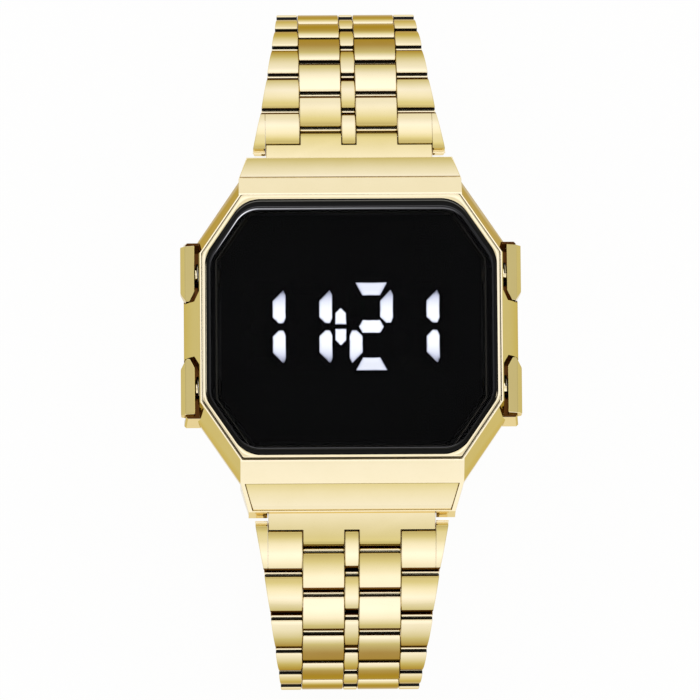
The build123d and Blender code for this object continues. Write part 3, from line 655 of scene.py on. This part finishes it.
@dataclass
class LitStrokes:
    """The lit light guides: strokes of four digits and the two dots of a colon."""

    lit: tuple[str, ...] = ("bc", "bc", "abged", "bc")
    right_x: tuple[float, ...] = (-7.7, -2.72, 3.79, 8.75)
    centre_y: float = 0.15
    digit_width: float = 3.27
    stroke: float = 1.42
    upright_centre: float = 2.17
    upright_half: float = 1.8
    upright_tip: float = 0.55
    bevel_long: float = 0.9
    bevel_short: float = 0.65
    bar_centre: float = 4.05
    bar_wide: float = 1.7
    bar_narrow: float = 0.95
    middle_half: float = 1.35
    colon_x: float = -1.12
    colon_offset: float = 1.12
    colon_half: Span = (0.6, 0.9)
    colon_round: float = 0.55
    clearance: float = 0.04
    foot: float = 5.7
    top: float = 8.0
    edge_points: int = 8
    ring_shares: tuple[float, ...] = (1.0, 0.85, 0.65, 0.45, 0.22, 0.0)
    ring_loss: tuple[float, ...] = (0.25, 0.06, 0.0, 0.0, 0.0, 0.0)
    wall_glow: float = 0.5
    fade_span: Span = (1.4, 2.6)
    right_fade: float = 0.6
    left_fade: float = 0.3
    level_fade: float = 0.15
    middle_fade: float = 0.1
    dot_fade: float = 0.5

    def upright(self) -> Grid:
        """Gives the outline of an upright stroke, straight on its outer side."""
        half, tall, tip = self.stroke / 2, self.upright_half, self.upright_tip
        inner = [(-half, tall - self.bevel_long - tip / 2), (-half, self.bevel_short - tall)]
        foot = [(self.bevel_short - half, -tall), (half - tip / 2, -tall), (half, tip - tall)]
        return np.array([(half, tall - tip), (half - tip / 2, tall), *inner, *foot])

    def level(self) -> Grid:
        """Gives the outline of the top stroke, wide on its outer side."""
        half, wide, narrow = self.stroke / 2, self.bar_wide, self.bar_narrow
        return np.array([(-wide, half), (wide, half), (narrow, -half), (-narrow, -half)])

    def middle(self) -> Grid:
        """Gives the outline of the middle stroke, a hexagon."""
        half, narrow, wide = self.stroke / 2, self.bar_narrow, self.middle_half
        right = [(narrow, half), (wide, 0), (narrow, -half)]
        return np.array(right + [(-x, -y) for x, y in right])

    def dot(self) -> Grid:
        """Gives the outline of a colon dot, with its upper corners cut."""
        half, tall = self.colon_half
        cut = self.colon_round
        upper = [(half, tall - cut), (half - cut, tall), (cut - half, tall), (-half, tall - cut)]
        return np.array([(-half, -tall), (half, -tall), *upper])

    def outlines(self) -> list[tuple[Grid, float]]:
        """Places every lit stroke.

        Returns:
            Each stroke's outline in plan, and how much it fades towards its outer tip.
        """
        placed = []
        for up in (1, -1):
            centre = (self.colon_x, self.centre_y + up * self.colon_offset)
            placed.append((self.dot() * (1, up) + centre, self.dot_fade))
        for right, letters in zip(self.right_x, self.lit):
            left, middle = right - self.digit_width, right - self.digit_width / 2
            places = {
                "a": (self.level(), (1, 1), (middle, self.bar_centre), self.level_fade),
                "b": (self.upright(), (1, 1), (right, self.upright_centre), self.right_fade),
                "c": (self.upright(), (1, -1), (right, -self.upright_centre), self.right_fade),
                "d": (self.level(), (1, -1), (middle, -self.bar_centre), self.level_fade),
                "e": (self.upright(), (-1, -1), (left, -self.upright_centre), self.left_fade),
                "g": (self.middle(), (1, 1), (middle, 0), self.middle_fade),
            }
            for letter in letters:
                shape, turn, centre, fade = places[letter]
                placed.append((shape * turn + np.array(centre) + (0, self.centre_y), fade))
        return placed

    def build(self, finishes: Finishes) -> Piece:
        """Builds the strokes: each outline drawn in to its middle on top, with straight walls below.

        Args:
            finishes: The materials.

        Returns:
            The lit strokes.
        """
        surface = Surface()
        along = np.linspace(0, 1, self.edge_points, endpoint=False)[None, :, None]
        for corners, fade in self.outlines():
            edges = np.roll(corners, -1, axis=0) - corners
            ring = (corners[:, None] + edges[:, None] * along).reshape(-1, 2)
            middle = ring.mean(axis=0)
            away = ring - middle
            ring = middle + away * (1 - self.clearance / np.linalg.norm(away, axis=1, keepdims=True))
            rows = [at_height(middle + (ring - middle) * share, self.top) for share in self.ring_shares]
            far = [grow(np.abs(row[:, 1] - self.centre_y), *self.fade_span) for row in rows]
            glow = [1 - fade * f**2 - loss for f, loss in zip(far, self.ring_loss)]
            wall = [at_height(ring, self.foot), rows[0]]
            surface.grid(np.stack(wall), glow=self.wall_glow)
            surface.grid(np.stack(rows), glow=np.stack(glow))
            surface.cap(wall[0])
        strokes = surface.build("display_strokes", [finishes.lit], crease=30)
        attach(strokes, "head")
        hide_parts("segments_lit")
        return strokes


@dataclass
class BezelRim:
    """The bright rim round the lens, crowned across its width, with its outer wall painted black as shade."""

    plan: CasePlan
    outer: Octagon = (15.88, 14.17, 21.25, 0.3)
    inner: Octagon = (15.53, 13.78, 20.756, 3.33)
    shift: float = 0.09
    inner_foot: float = 8.0
    bottom: float = 7.45
    top: float = 9.2
    crown: float = 0.07
    edge: float = 0.1
    edge_points: int = 6
    crown_points: int = 11

    def build(self, finishes: Finishes) -> Piece:
        """Builds the rim: a closed ring whose section blends from its outer to its inner outline.

        Args:
            finishes: The materials.

        Returns:
            The rim.
        """
        outer = self.plan.outline(*self.outer) + (0, self.shift)
        inner = self.plan.outline(*self.inner)
        width = np.linalg.norm(outer - inner, axis=1)[:, None]
        shoulder = self.top - self.crown

        def row(inset: Grid | float, rise: float) -> Grid:
            """Works out the outline at an inset, at a height above the shoulder."""
            return at_height(outer + (inner - outer) * inset / width, shoulder + rise)

        edge = []
        for angle in np.linspace(0, math.pi / 2, self.edge_points):
            edge.append((self.edge * (1 - math.cos(angle)), -self.edge * (1 - math.sin(angle))))
        rows = [at_height(outer, self.bottom)]
        rows += [row(inset, rise) for inset, rise in edge]
        for share in np.linspace(0, 1, self.crown_points)[1:-1]:
            rows.append(row(self.edge + (width - 2 * self.edge) * share, arch(self.crown, share)))
        rows += [row(width - inset, rise) for inset, rise in edge[::-1]]
        rows += [at_height(inner, self.inner_foot), at_height(inner, self.bottom), rows[0]]
        surface = Surface()
        # The outer wall is painted black as shade.
        surface.grid(np.stack(rows[:2]), slot=1)
        surface.grid(np.stack(rows[1:]))
        rim = surface.build("bezel_rim", [finishes.gold, finishes.painted_shade], crease=35)
        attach(rim, "head")
        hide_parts("bezel")
        return rim


class Column(Enum):
    """The kinds of piece in a link, by their place across it: edge radius and far shoulder."""

    OUTER = (0.12, 1.2)
    MIDDLE = (0.1, 0.9)
    CENTRE = (0.16, 0.9)


@dataclass
class Bracelet:
    """The two halves of the bracelet: each link is five pieces in five columns.

    The tones paint light and shade into the gold, as its depth at four places along a piece, row by row
    from the case. The pieces' sides get a middle tone of painted shade.
    """

    pitch: float = 5.2
    radius: float = 1.25
    drawn_in: float = 0.012
    crown: float = 0.1
    shoulder: float = 0.85
    edge: float = 0.2
    ledge: float = -0.1
    lip: Span = (0.963, 0.44)
    lip_radius: float = 0.19
    lip_margin: float = 0.05
    shadow: float = 0.12
    spine_share: float = 0.3
    end_glow: float = 0.5
    horn: float = 0.75
    horn_start: float = 9.0
    seam: float = 0.03
    bar_y: float = 17.75
    bar_height: float = 1.9
    end_length: float = 3.8
    end_slope: float = 23.0
    centre_half_width: float = 0.76
    gap: float = 0.05
    middle_width: float = 4.45
    width: float = 15.0
    flare: float = 5.6
    flare_pitches: int = 6
    crown_points: int = 8
    corner_points: int = 6
    arc_points: int = 9
    edge_points: int = 5
    slopes_12: tuple[float, ...] = (33, 36.5, 48, 60, 68, 86, 105, 124, 141, 156, 168.5)
    slopes_6: tuple[float, ...] = (33.5, 41, 58.5, 73, 84, 99, 116.6, 132.6, 147.6, 158.6, 170)
    tone_places: tuple[float, float, float, float] = (0.08, 0.32, 0.6, 1.0)
    tones: tuple[tuple[float, float, float, float], ...] = (
        (0.55, 0.2, 0.0, 0.2),
        (0.6, 0.35, 0.1, 0.05),
        (0.55, 0.25, 0.0, 0.45),
        (0.0, 0.0, 0.1, 0.7),
        (0.0, 0.15, 0.4, 0.95),
        (0.0, 0.6, 0.95, 1.0),
        (0.05, 0.3, 0.6, 1.0),
        (0.0, 0.85, 1.0, 1.0),
        (0.15, 0.35, 0.7, 1.0),
        (0.0, 0.9, 1.0, 1.0),
    )

    def half_width(self, number: int) -> float:
        """Works out half the bracelet's width a number of pitches from the case."""
        left = max(self.flare_pitches - number, 0) / self.flare_pitches
        return (self.width + self.flare * left * left) / 2

    def profile(self, far_shoulder: float) -> tuple[Grid, Grid, Grid]:
        """Works out a piece's side outline.

        The top is an arc through both shoulders. The far end drops down a wall to a ledge and
        follows a circle about its pin. The near end has a rounded lip below its wall, painted pale as a
        highlight.

        Args:
            far_shoulder: How far the top reaches beyond the far pin.

        Returns:
            Points along the link and outwards from it, each point's outward normal, and the
            slot of the stretch that starts at each point: 0 gold, 1 black as painted shade, 2 brown as
            painted shade.
        """
        half = self.pitch / 4
        depth = (half**2 - self.crown**2) / (2 * self.crown)
        big = math.hypot(half, depth) + self.radius - self.drawn_in
        far_reach, near_reach = half + far_shoulder, half + self.shoulder

        def arc(centre: Span, radius: float, angle: Grid) -> Grid:
            """Gives the points of an arc."""
            return centre + radius * np.stack([np.cos(angle), np.sin(angle)], axis=1)

        def crown(reach: float) -> Grid:
            """Gives the top, from its middle to the rounding at a reach."""
            lean = math.asin((reach - self.edge) / big)
            return arc((0, -depth), big, math.pi / 2 - np.linspace(0, lean, self.crown_points))

        def corner(reach: float) -> Grid:
            """Gives the rounding at a reach."""
            lean = math.asin((reach - self.edge) / (big - self.edge))
            centre = (reach - self.edge, (big - self.edge) * math.cos(lean) - depth)
            return arc(centre, self.edge, np.linspace(math.pi / 2 - lean, 0, self.corner_points))

        def about_pin(first: float) -> Grid:
            """Gives the circle about the pin, from an angle down to its foot."""
            return arc((half, 0), self.radius, np.linspace(first, -math.pi / 2, self.arc_points))

        lip_x, lip_v = self.lip
        foot = math.atan2(lip_v, lip_x)
        turn = np.linspace(math.acos((self.shoulder - lip_x) / self.lip_radius), foot, self.arc_points)
        lip = arc((half + lip_x, lip_v), self.lip_radius, turn)
        drop = about_pin(math.asin(self.ledge / self.radius))
        far = [crown(far_reach - self.shadow), corner(far_reach), np.array([(far_reach, self.ledge)]), drop]
        near = [crown(near_reach)[:-1], corner(near_reach), lip, about_pin(foot)[1:]]
        # The near wall is painted black as shade; the far end from a shadow's length before its shoulder, and
        # the circles about the pins, are painted brown as shade.
        far_slots = np.repeat([0, 2], [len(far[0]) - 1, sum(map(len, far[1:]))])
        near_runs = [len(near[0]) + len(near[1]) - 1, 1, len(lip) - 1, len(near[3])]
        near_slots = np.repeat([0, 1, 0, 2], near_runs)
        outline = np.concatenate([*far, np.concatenate(near)[:0:-1] * (-1, 1)])
        stretches = np.concatenate([far_slots, [0], near_slots[::-1]])
        turned = np.roll(outline, -1, axis=0) - np.roll(outline, 1, axis=0)
        normal = np.stack([-turned[:, 1], turned[:, 0]], axis=1)
        normal = normal / np.linalg.norm(normal, axis=1, keepdims=True)
        return outline + (half, 0), normal, stretches

    def tone(self, outline: Grid, row: int) -> Grid:
        """Works out the painted shade along a piece: deeper towards the far end, row by row, pale on the lip
        and below it.

        Args:
            outline: The piece's side outline.
            row: Half pitches from the case.

        Returns:
            A value from 0 to 1 for each point.
        """
        along = (outline[:, 0] + self.shoulder) / (self.pitch / 2 + 2 * self.shoulder)
        last = len(self.tones) - 1
        values = self.tones[row if row <= last else last - (row - last) % 2]
        tone = np.interp(along, self.tone_places, values)
        # The lip and what lies below it are painted pale, as a highlight.
        return np.where(outline[:, 1] < self.lip[1] + self.lip_radius + self.lip_margin, 0.0, tone)

    def piece(
        self,
        surface: Surface,
        place: Grid,
        row: int,
        inner: float,
        outer: Span,
        column: Column,
        rounded: tuple[bool, bool] = (True, True),
        horn: float = 0.0,
    ) -> None:
        """Adds one piece: its side outline carried across the link, drawn in at both ends.

        Args:
            surface: What it is added to.
            place: Hinge Y and Z, slope in radians and side of the link.
            row: Half pitches from the case; an odd row starts half a pitch along its link.
            inner: Its inner face's X, with its sign.
            outer: Its outer face's X at the link's start and a pitch further on.
            column: Which column it stands in.
            rounded: Whether its inner and its outer edge are rounded.
            horn: How much further the top of its near end reaches. A horn's near end has no painted shade.
        """
        radius, far_shoulder = column.value
        turn = np.linspace(0, math.pi / 2, self.edge_points)
        outline, normal, stretches = self.profile(far_shoulder)
        tone = self.tone(outline, row)
        if horn:
            near = outline[:, 0] < 0
            # A horn's near end gets no painted shade.
            stretches = np.where(near, 0, stretches)
            near_top = near & (outline[:, 1] > self.lip[1] - self.lip_radius)
            outline = outline - np.where(near_top, horn, 0.0)[:, None] * (1, 0)
        start = row % 2 * self.pitch / 2
        sign = 1.0 if outer[0] > inner else -1.0
        rows = []
        for end, turns in enumerate((turn, turn[::-1])):
            rounding = radius if rounded[end] else self.seam
            for angle in turns:
                drawn = outline - normal * rounding * (1 - math.sin(angle)) + (start, 0)
                reach = (drawn[:, 0] + self.radius) / self.pitch
                face = outer[0] + (outer[1] - outer[0]) * reach if end else np.full(len(drawn), inner)
                inset = rounding * (1 - math.cos(angle)) * (-sign if end else sign)
                rows.append(self.to_row(face + inset, drawn, place))
        grid = np.stack(rows)
        surface.grid(grid, slot=stretches, glow=tone)
        # The sides are painted with a middle tone of shade.
        for ring in (grid[0], grid[-1]):
            spine = ring.mean(axis=0) + (ring - ring.mean(axis=0)) * self.spine_share
            surface.grid(np.stack([ring, spine]), glow=self.end_glow)
            surface.cap(spine, glow=self.end_glow)

    def to_row(self, x: Grid, outline: Grid, place: Grid) -> Grid:
        """Turns points across, along and outwards of a link into the row frame."""
        y0, z0, slope, side = place
        along, out = outline[:, 0], outline[:, 1]
        y = y0 + side * (along * math.cos(slope) + out * math.sin(slope))
        z = z0 - along * math.sin(slope) + out * math.cos(slope)
        return np.stack([x, y, z], axis=1)

    def link(self, place: Grid, number: int, name: str, finishes: Finishes) -> Piece:
        """Builds a link's five pieces as one rigid object.

        Args:
            place: Hinge Y and Z, slope in radians and side.
            number: Pitches from the case.
            name: The CAD node that it stands for.
            finishes: The materials.

        Returns:
            The link.
        """
        surface = Surface()
        near, far = self.half_width(number), self.half_width(number + 1)
        centre = self.centre_half_width
        middle_in = centre + self.gap
        middle_out = middle_in + self.middle_width
        outer_in = middle_out + self.gap
        row = 2 * number
        self.piece(surface, place, row, -centre, (centre, centre), Column.CENTRE)
        for sign in (1, -1):
            self.piece(surface, place, row + 1, sign * middle_in, (sign * middle_out,) * 2, Column.MIDDLE)
            sides = (sign * near, sign * far)
            if number:
                self.piece(surface, place, row, sign * outer_in, sides, Column.OUTER)
                continue
            split, past = sign * self.horn_start, sign * (self.horn_start + self.seam)
            self.piece(surface, place, row, sign * outer_in, (split, split), Column.OUTER, (True, False))
            self.piece(surface, place, row, past, sides, Column.OUTER, (False, True), self.horn)
        link = surface.build(f"{name}_pieces", [finishes.gold, finishes.painted_shade, finishes.brown_shade], crease=40)
        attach(link, name)
        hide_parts(name)
        return link

    def build(self, finishes: Finishes) -> list[Piece]:
        """Builds both halves, link by link, each hinged at the last one's third pin.

        Args:
            finishes: The materials.

        Returns:
            The links.
        """
        made = []
        lean = math.radians(self.end_slope)
        for side, number, slopes in ((1, "12", self.slopes_12), (-1, "6", self.slopes_6)):
            y = side * (self.bar_y + self.end_length * math.cos(lean))
            z = self.bar_height - self.end_length * math.sin(lean)
            for count, angle in enumerate(slopes):
                slope = math.radians(angle)
                place = np.array([y, z, slope, side])
                made.append(self.link(place, count, f"link_{number}_{count + 1:02d}", finishes))
                y += side * self.pitch * math.cos(slope)
                z -= self.pitch * math.sin(slope)
        return made


@dataclass
class MachinedPiece:
    """A milled or pressed piece: the node's own shape with its edges broken.

    Its tones are painted shade, as deeper gold on a steep face. The slot's spans are where the
    pushers' slots lie, on every side, whose faces are painted as shade.
    """

    node: str
    body: str
    slot: str
    material: Material
    # The finish painted as shade inside the pushers' slots.
    painted_shade: Material | None = None
    side_tone: float = 0.5
    end_share: float = 0.1
    corner_tone: float = 0.0
    level_up: float = 0.99
    level_fall: float = 0.06
    least: float = 0.01
    edge: float = 0.08
    segments: int = 2
    crease: float = 30.0
    edge_angle: float = 28.0
    flat_angle: float = 0.5
    merge: float = 0.001
    slot_x: Span = (16.25, 17.85)
    slot_y: Span = (2.0, 9.4)
    slot_z: Span = (3.5, 7.2)

    def tones(self, mesh: bpy.types.Mesh) -> None:
        """Paints shade on steep faces as deeper gold: those at the sides most, or those at 12 o'clock's
        corners.
        """
        x, y, up = face_values(mesh, "normal").T
        aside = np.abs(x) / np.maximum(np.hypot(x, y), self.least)
        corner = np.clip(y, 0, 1) * np.abs(x) / np.maximum(x * x + y * y, self.least)
        steep = np.clip((self.level_up - up) / self.level_fall, 0, 1)
        tone = self.side_tone * (self.end_share + (1 - self.end_share) * aside)
        # The painted shade of each face.
        values = steep * (tone + self.corner_tone * corner)
        layer = mesh.attributes.new("glow", "FLOAT", "FACE")
        layer.data.foreach_set("value", values.astype(np.float32))

    def shade_slots(self, mesh: bpy.types.Mesh) -> None:
        """Paints the faces inside the pushers' slots dark, as shade."""
        places = np.abs(face_values(mesh, "center")) / MM
        inside = np.ones(len(places), bool)
        for column, (low, high) in zip(places.T, (self.slot_x, self.slot_y, self.slot_z)):
            inside &= (column > low) & (column < high)
        mesh.polygons.foreach_set("material_index", inside.astype(np.int32))
        mesh.materials.append(self.painted_shade)

    def build(self) -> Piece:
        """Builds the piece from a merged copy of the node's mesh, with a bevel on its edges.

        Returns:
            The piece.
        """
        mesh = frame["nodes"][self.node].data.copy()
        mesh.materials.clear()
        work = bmesh.new()
        work.from_mesh(mesh)
        bmesh.ops.remove_doubles(work, verts=work.verts, dist=self.merge * MM)
        flat = {"angle_limit": math.radians(self.flat_angle), "use_dissolve_boundaries": False}
        bmesh.ops.dissolve_limit(work, verts=work.verts, edges=work.edges, **flat)
        work.to_mesh(mesh)
        work.free()
        if "custom_normal" in mesh.attributes:
            mesh.attributes.remove(mesh.attributes["custom_normal"])
        piece = finish_mesh(mesh, f"{self.node}_finished", [self.material], self.crease)
        self.tones(piece.data)
        if self.painted_shade:
            self.shade_slots(piece.data)
        bevel = piece.modifiers.new("broken_edges", "BEVEL")
        bevel.width = self.edge * MM
        bevel.segments = self.segments
        bevel.limit_method = "ANGLE"
        bevel.angle_limit = math.radians(self.edge_angle)
        bevel.harden_normals = True
        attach(piece, self.body)
        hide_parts(self.node)
        return piece


@dataclass
class ReturnSpring:
    """A pusher's coiled spring, which shortens as the pusher goes in."""

    node: str
    joint: str
    travel: float = 0.36

    def build(self, finishes: Finishes) -> Piece:
        """Builds the spring from the node's mesh.

        Args:
            finishes: The materials.

        Returns:
            The spring.
        """
        mesh = frame["nodes"][self.node].data.copy()
        mesh.materials.clear()
        spring = finish_mesh(mesh, f"{self.node}_coiled", [finishes.steel], crease=40)
        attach(spring, "head")
        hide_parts(self.node)
        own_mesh(spring)
        return spring


@dataclass
class EndPanel:
    """A polished panel let into the slope at one end of the case, crowned along the slope.

    For each side there are its inner and outer half width and its inset, and the painted shade,
    as the gold's depth, at shares of the way down. Its first row, the groove, is painted brown as shade.
    """

    side: int
    slope_start: Span = (16.4, 6.6)
    slope_end: Span = (19.25, 3.75)
    start: float = 0.28
    end_border: float = 0.15
    floor: float = 0.47
    crown: float = 0.1
    edge: float = 0.06
    groove: float = 0.03
    rows: int = 25
    sizes: ClassVar[dict[int, Triple]] = {1: (11.86, 10.98, -0.04), -1: (11.45, 10.62, 0.16)}
    tones: ClassVar[dict[int, dict[float, float]]] = {
        1: {0.0: 0.0, 0.45: 0.2, 1.0: 0.5},
        -1: {0.0: 0.45, 0.35: 0.25, 1.0: 0.0},
    }

    def build(self, finishes: Finishes) -> Piece:
        """Builds the panel: a trapezoid whose face rises in a shallow arc between its ends.

        Args:
            finishes: The materials.

        Returns:
            The panel.
        """
        inner_half, outer_half, inset = self.sizes[self.side]
        first, last = np.array(self.slope_start), np.array(self.slope_end)
        length = np.linalg.norm(last - first)
        run, drop = (last - first) / length
        share = np.concatenate([[0], np.linspace(self.groove, 1, self.rows - 1)])
        along = self.start + (length - self.end_border - self.start) * share
        half = inner_half + (outer_half - inner_half) * share
        face = -inset + arch(self.crown, share) - self.edge
        under = np.full(self.rows, -self.floor)
        columns = [(-half, under), (-half, face), (-half + self.edge, face + self.edge)]
        columns += [(-x, out) for x, out in columns[::-1]]
        grid = np.empty((self.rows, len(columns), 3))
        for column, (x, out) in enumerate(columns):
            y = first[0] + along * run - out * drop
            z = first[1] + along * drop + out * run
            grid[:, column] = np.stack([self.side * x, self.side * y, z], axis=1)
        # Painted shade down the panel.
        tones = self.tones[self.side]
        tone = np.interp(share, list(tones), list(tones.values()))
        # The groove's row is painted brown as shade.
        slot = np.arange(self.rows - 1)[:, None] == 0
        surface = Surface()
        surface.grid(grid, slot=slot, glow=tone[:, None])
        surface.cap(grid[0])
        surface.cap(grid[-1])
        label = {1: "end_panel_12", -1: "end_panel_6"}[self.side]
        panel = surface.build(f"{label}_crowned", [finishes.gold, finishes.brown_shade], crease=30)
        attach(panel, "head")
        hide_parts(label)
        return panel


@dataclass
class Studio:
    """A pale floor, soft light from a bright tunnel of paper, and the camera."""

    floor_drop: float = 0.3
    floor_size: float = 8000.0
    paper_grain: float = 1.5
    paper_roughness: float = 0.9
    paper_gloss: float = 0.1
    white_share: float = 0.94
    camera_distance: float = 1000.0
    camera_tilt: float = 8.7
    camera_aside: float = 0.9
    camera_roll: float = 0.45
    focal: float = 481.9
    sensor: float = 36.0
    clip: Span = (0.01, 100.0)
    lens_centre: Triple = (0.0, 0.0, 9.42)
    lens_right: float = 0.16
    lens_up: float = 2.583
    strength: float = 3.0
    sides: float = 0.72
    side_span: Span = (0.4, 0.85)

    def camera(self) -> None:
        """Places the camera above the dial, tilted towards 6 o'clock and turned a little."""
        data = bpy.data.cameras.new("camera")
        data.lens = self.focal
        data.sensor_width = self.sensor
        data.clip_start, data.clip_end = self.clip
        camera = bpy.data.objects.new("camera", data)
        bpy.context.scene.collection.objects.link(camera)
        tilt, aside, roll = (math.radians(a) for a in (self.camera_tilt, self.camera_aside, self.camera_roll))
        turn = Matrix.Rotation(-aside, 3, "Y") @ Matrix.Rotation(tilt, 3, "X")
        turn = turn @ Matrix.Rotation(-roll, 3, "Z")
        right, up, back = turn.col
        aim = Vector(self.lens_centre) - right * self.lens_right - up * self.lens_up
        camera.matrix_world = Matrix.Translation((aim + back * self.camera_distance) * MM) @ turn.to_4x4()
        bpy.context.scene.camera = camera

    def world(self) -> None:
        """Lights the scene with soft panels: a ramp from 6 o'clock over the dial to 12 o'clock.

        The ramp's place is the angle of a direction's Y over its Z. Both sides are dimmer.
        """
        world = bpy.data.worlds.new("studio")
        bpy.context.scene.world = world
        world.use_nodes = True
        tree = world.node_tree
        tree.nodes.clear()
        cool, plain, warm = (1.0, 1.0, 1.08), (1.0, 1.0, 1.03), (1.0, 0.97, 0.86)
        panels = {-90: (1.05, plain), -70: (1.2, plain), -45: (1.15, plain), -25: (0.9, warm)}
        panels |= {-8: (0.85, warm), 10: (1.2, cool), 30: (1.15, plain), 42: (0.9, warm)}
        panels |= {60: (1.25, plain), 78: (1.15, plain), 90: (1.0, plain)}
        stops = {}
        for angle, (level, tint) in panels.items():
            stops[0.5 + angle / 180] = (*[level * part / self.strength for part in tint], 1.0)
        way = add_node(tree, "ShaderNodeTexCoord").outputs["Generated"]
        x, y, z = add_node(tree, "ShaderNodeSeparateXYZ", {0: way}).outputs
        place = calculate(tree, "MULTIPLY_ADD", calculate(tree, "ARCTAN2", y, z), 1 / math.pi, 0.5)
        dimmed = (self.strength, self.strength * self.sides)
        aside = calculate(tree, "ABSOLUTE", x)
        level = spread(tree, aside, dimmed, self.side_span, interpolation_type="SMOOTHSTEP")
        inputs = {"Color": ramp(tree, place, stops), "Strength": level}
        light = add_node(tree, "ShaderNodeBackground", inputs)
        add_node(tree, "ShaderNodeOutputWorld", {0: light.outputs[0]})

    def paper(self) -> Material:
        """Builds the floor's material.

        Returns:
            Grained paper, nearly plain white where the camera, a mirror or glass sees it.
        """
        material, tree = empty_material("paper_sweep_white")
        tint = two_tones(tree, noise(tree, self.paper_grain), "#FAFAF7", "#FEFEFB")
        dull = {"Roughness": self.paper_roughness, "Specular IOR Level": self.paper_gloss}
        paper = add_node(tree, "ShaderNodeBsdfPrincipled", {"Base Color": tint, **dull})
        white = add_node(tree, "ShaderNodeEmission", {"Color": (1, 1, 1, 1), "Strength": 1.0})
        rays = add_node(tree, "ShaderNodeLightPath").outputs
        seen = calculate(tree, "MAXIMUM", rays["Is Camera Ray"], rays["Is Glossy Ray"])
        seen = calculate(tree, "MAXIMUM", seen, rays["Is Transmission Ray"])
        share = calculate(tree, "MULTIPLY", seen, self.white_share)
        show(tree, "ShaderNodeMixShader", {0: share, 1: paper.outputs[0], 2: white.outputs[0]})
        return material

    def floor(self, height: float) -> None:
        """Lays the floor just under the watch.

        Args:
            height: The watch's lowest point in metres.
        """
        half = self.floor_size / 2
        z = height / MM - self.floor_drop
        surface = Surface()
        corners = np.array([[(-half, -half, z), (half, -half, z)], [(-half, half, z), (half, half, z)]])
        surface.grid(corners, around=False)
        floor = surface.build("floor", [self.paper()], crease=35)

    def build(self) -> None:
        """Builds the studio round the watch."""
        self.camera()
        self.world()
        self.floor(cad_box[0].z)


def main() -> None:
    """Builds the watch, sub-assembly by sub-assembly, and the studio."""
    logging.basicConfig(level=logging.INFO, format="%(name)s: %(message)s")
    finishes = Finishes()
    plan = CasePlan()
    bodies = frame["record"]["behaviour"]["bodies"]
    body_of = {node: body for body, nodes in bodies.items() for node in nodes}
    slot_of = {row["node"]: row["material_slot"] for row in frame["record"]["subparts"]}
    for node in frame["nodes"]:
        dress(node, finishes.by_slot[slot_of[node]])
    made = [Crystal(plan).build(finishes), LitStrokes().build(finishes), BezelRim(plan).build(finishes)]
    made += [EndPanel(side).build(finishes) for side in (1, -1)]
    made += Bracelet().build(finishes)
    springs = [node for node in frame["nodes"] if node.startswith("pusher_spring_")]
    pushers = [node for node in frame["nodes"] if node.startswith("pusher_") and node not in springs]
    # The case body is painted with shade in the pushers' slots and at 12 o'clock's corners.
    own = {"case_body": {"painted_shade": finishes.slot_shade, "corner_tone": 0.9}}
    own |= {"case_back": {}, "clasp_cover": {}}
    for node in ("end_link_12", "end_link_6"):
        own[node] = {"material": finishes.end_gold, "edge": 0.16}
    for node in pushers:
        own[node] = {"edge": 0.13, "segments": 3}
    for node, looks in own.items():
        given = {"material": finishes.by_slot[slot_of[node]], **looks}
        made.append(MachinedPiece(node, body_of[node], slot_of[node], **given).build())
    for node in springs:
        made.append(ReturnSpring(node, node.replace("spring_", "") + "_press").build(finishes))
    for piece in made:
        LOG.info("%s: %d faces", piece.name, len(piece.data.polygons))
    Studio().build()
    bpy.context.scene.view_settings.view_transform = "Standard"


if __name__ == "__main__":
    main()
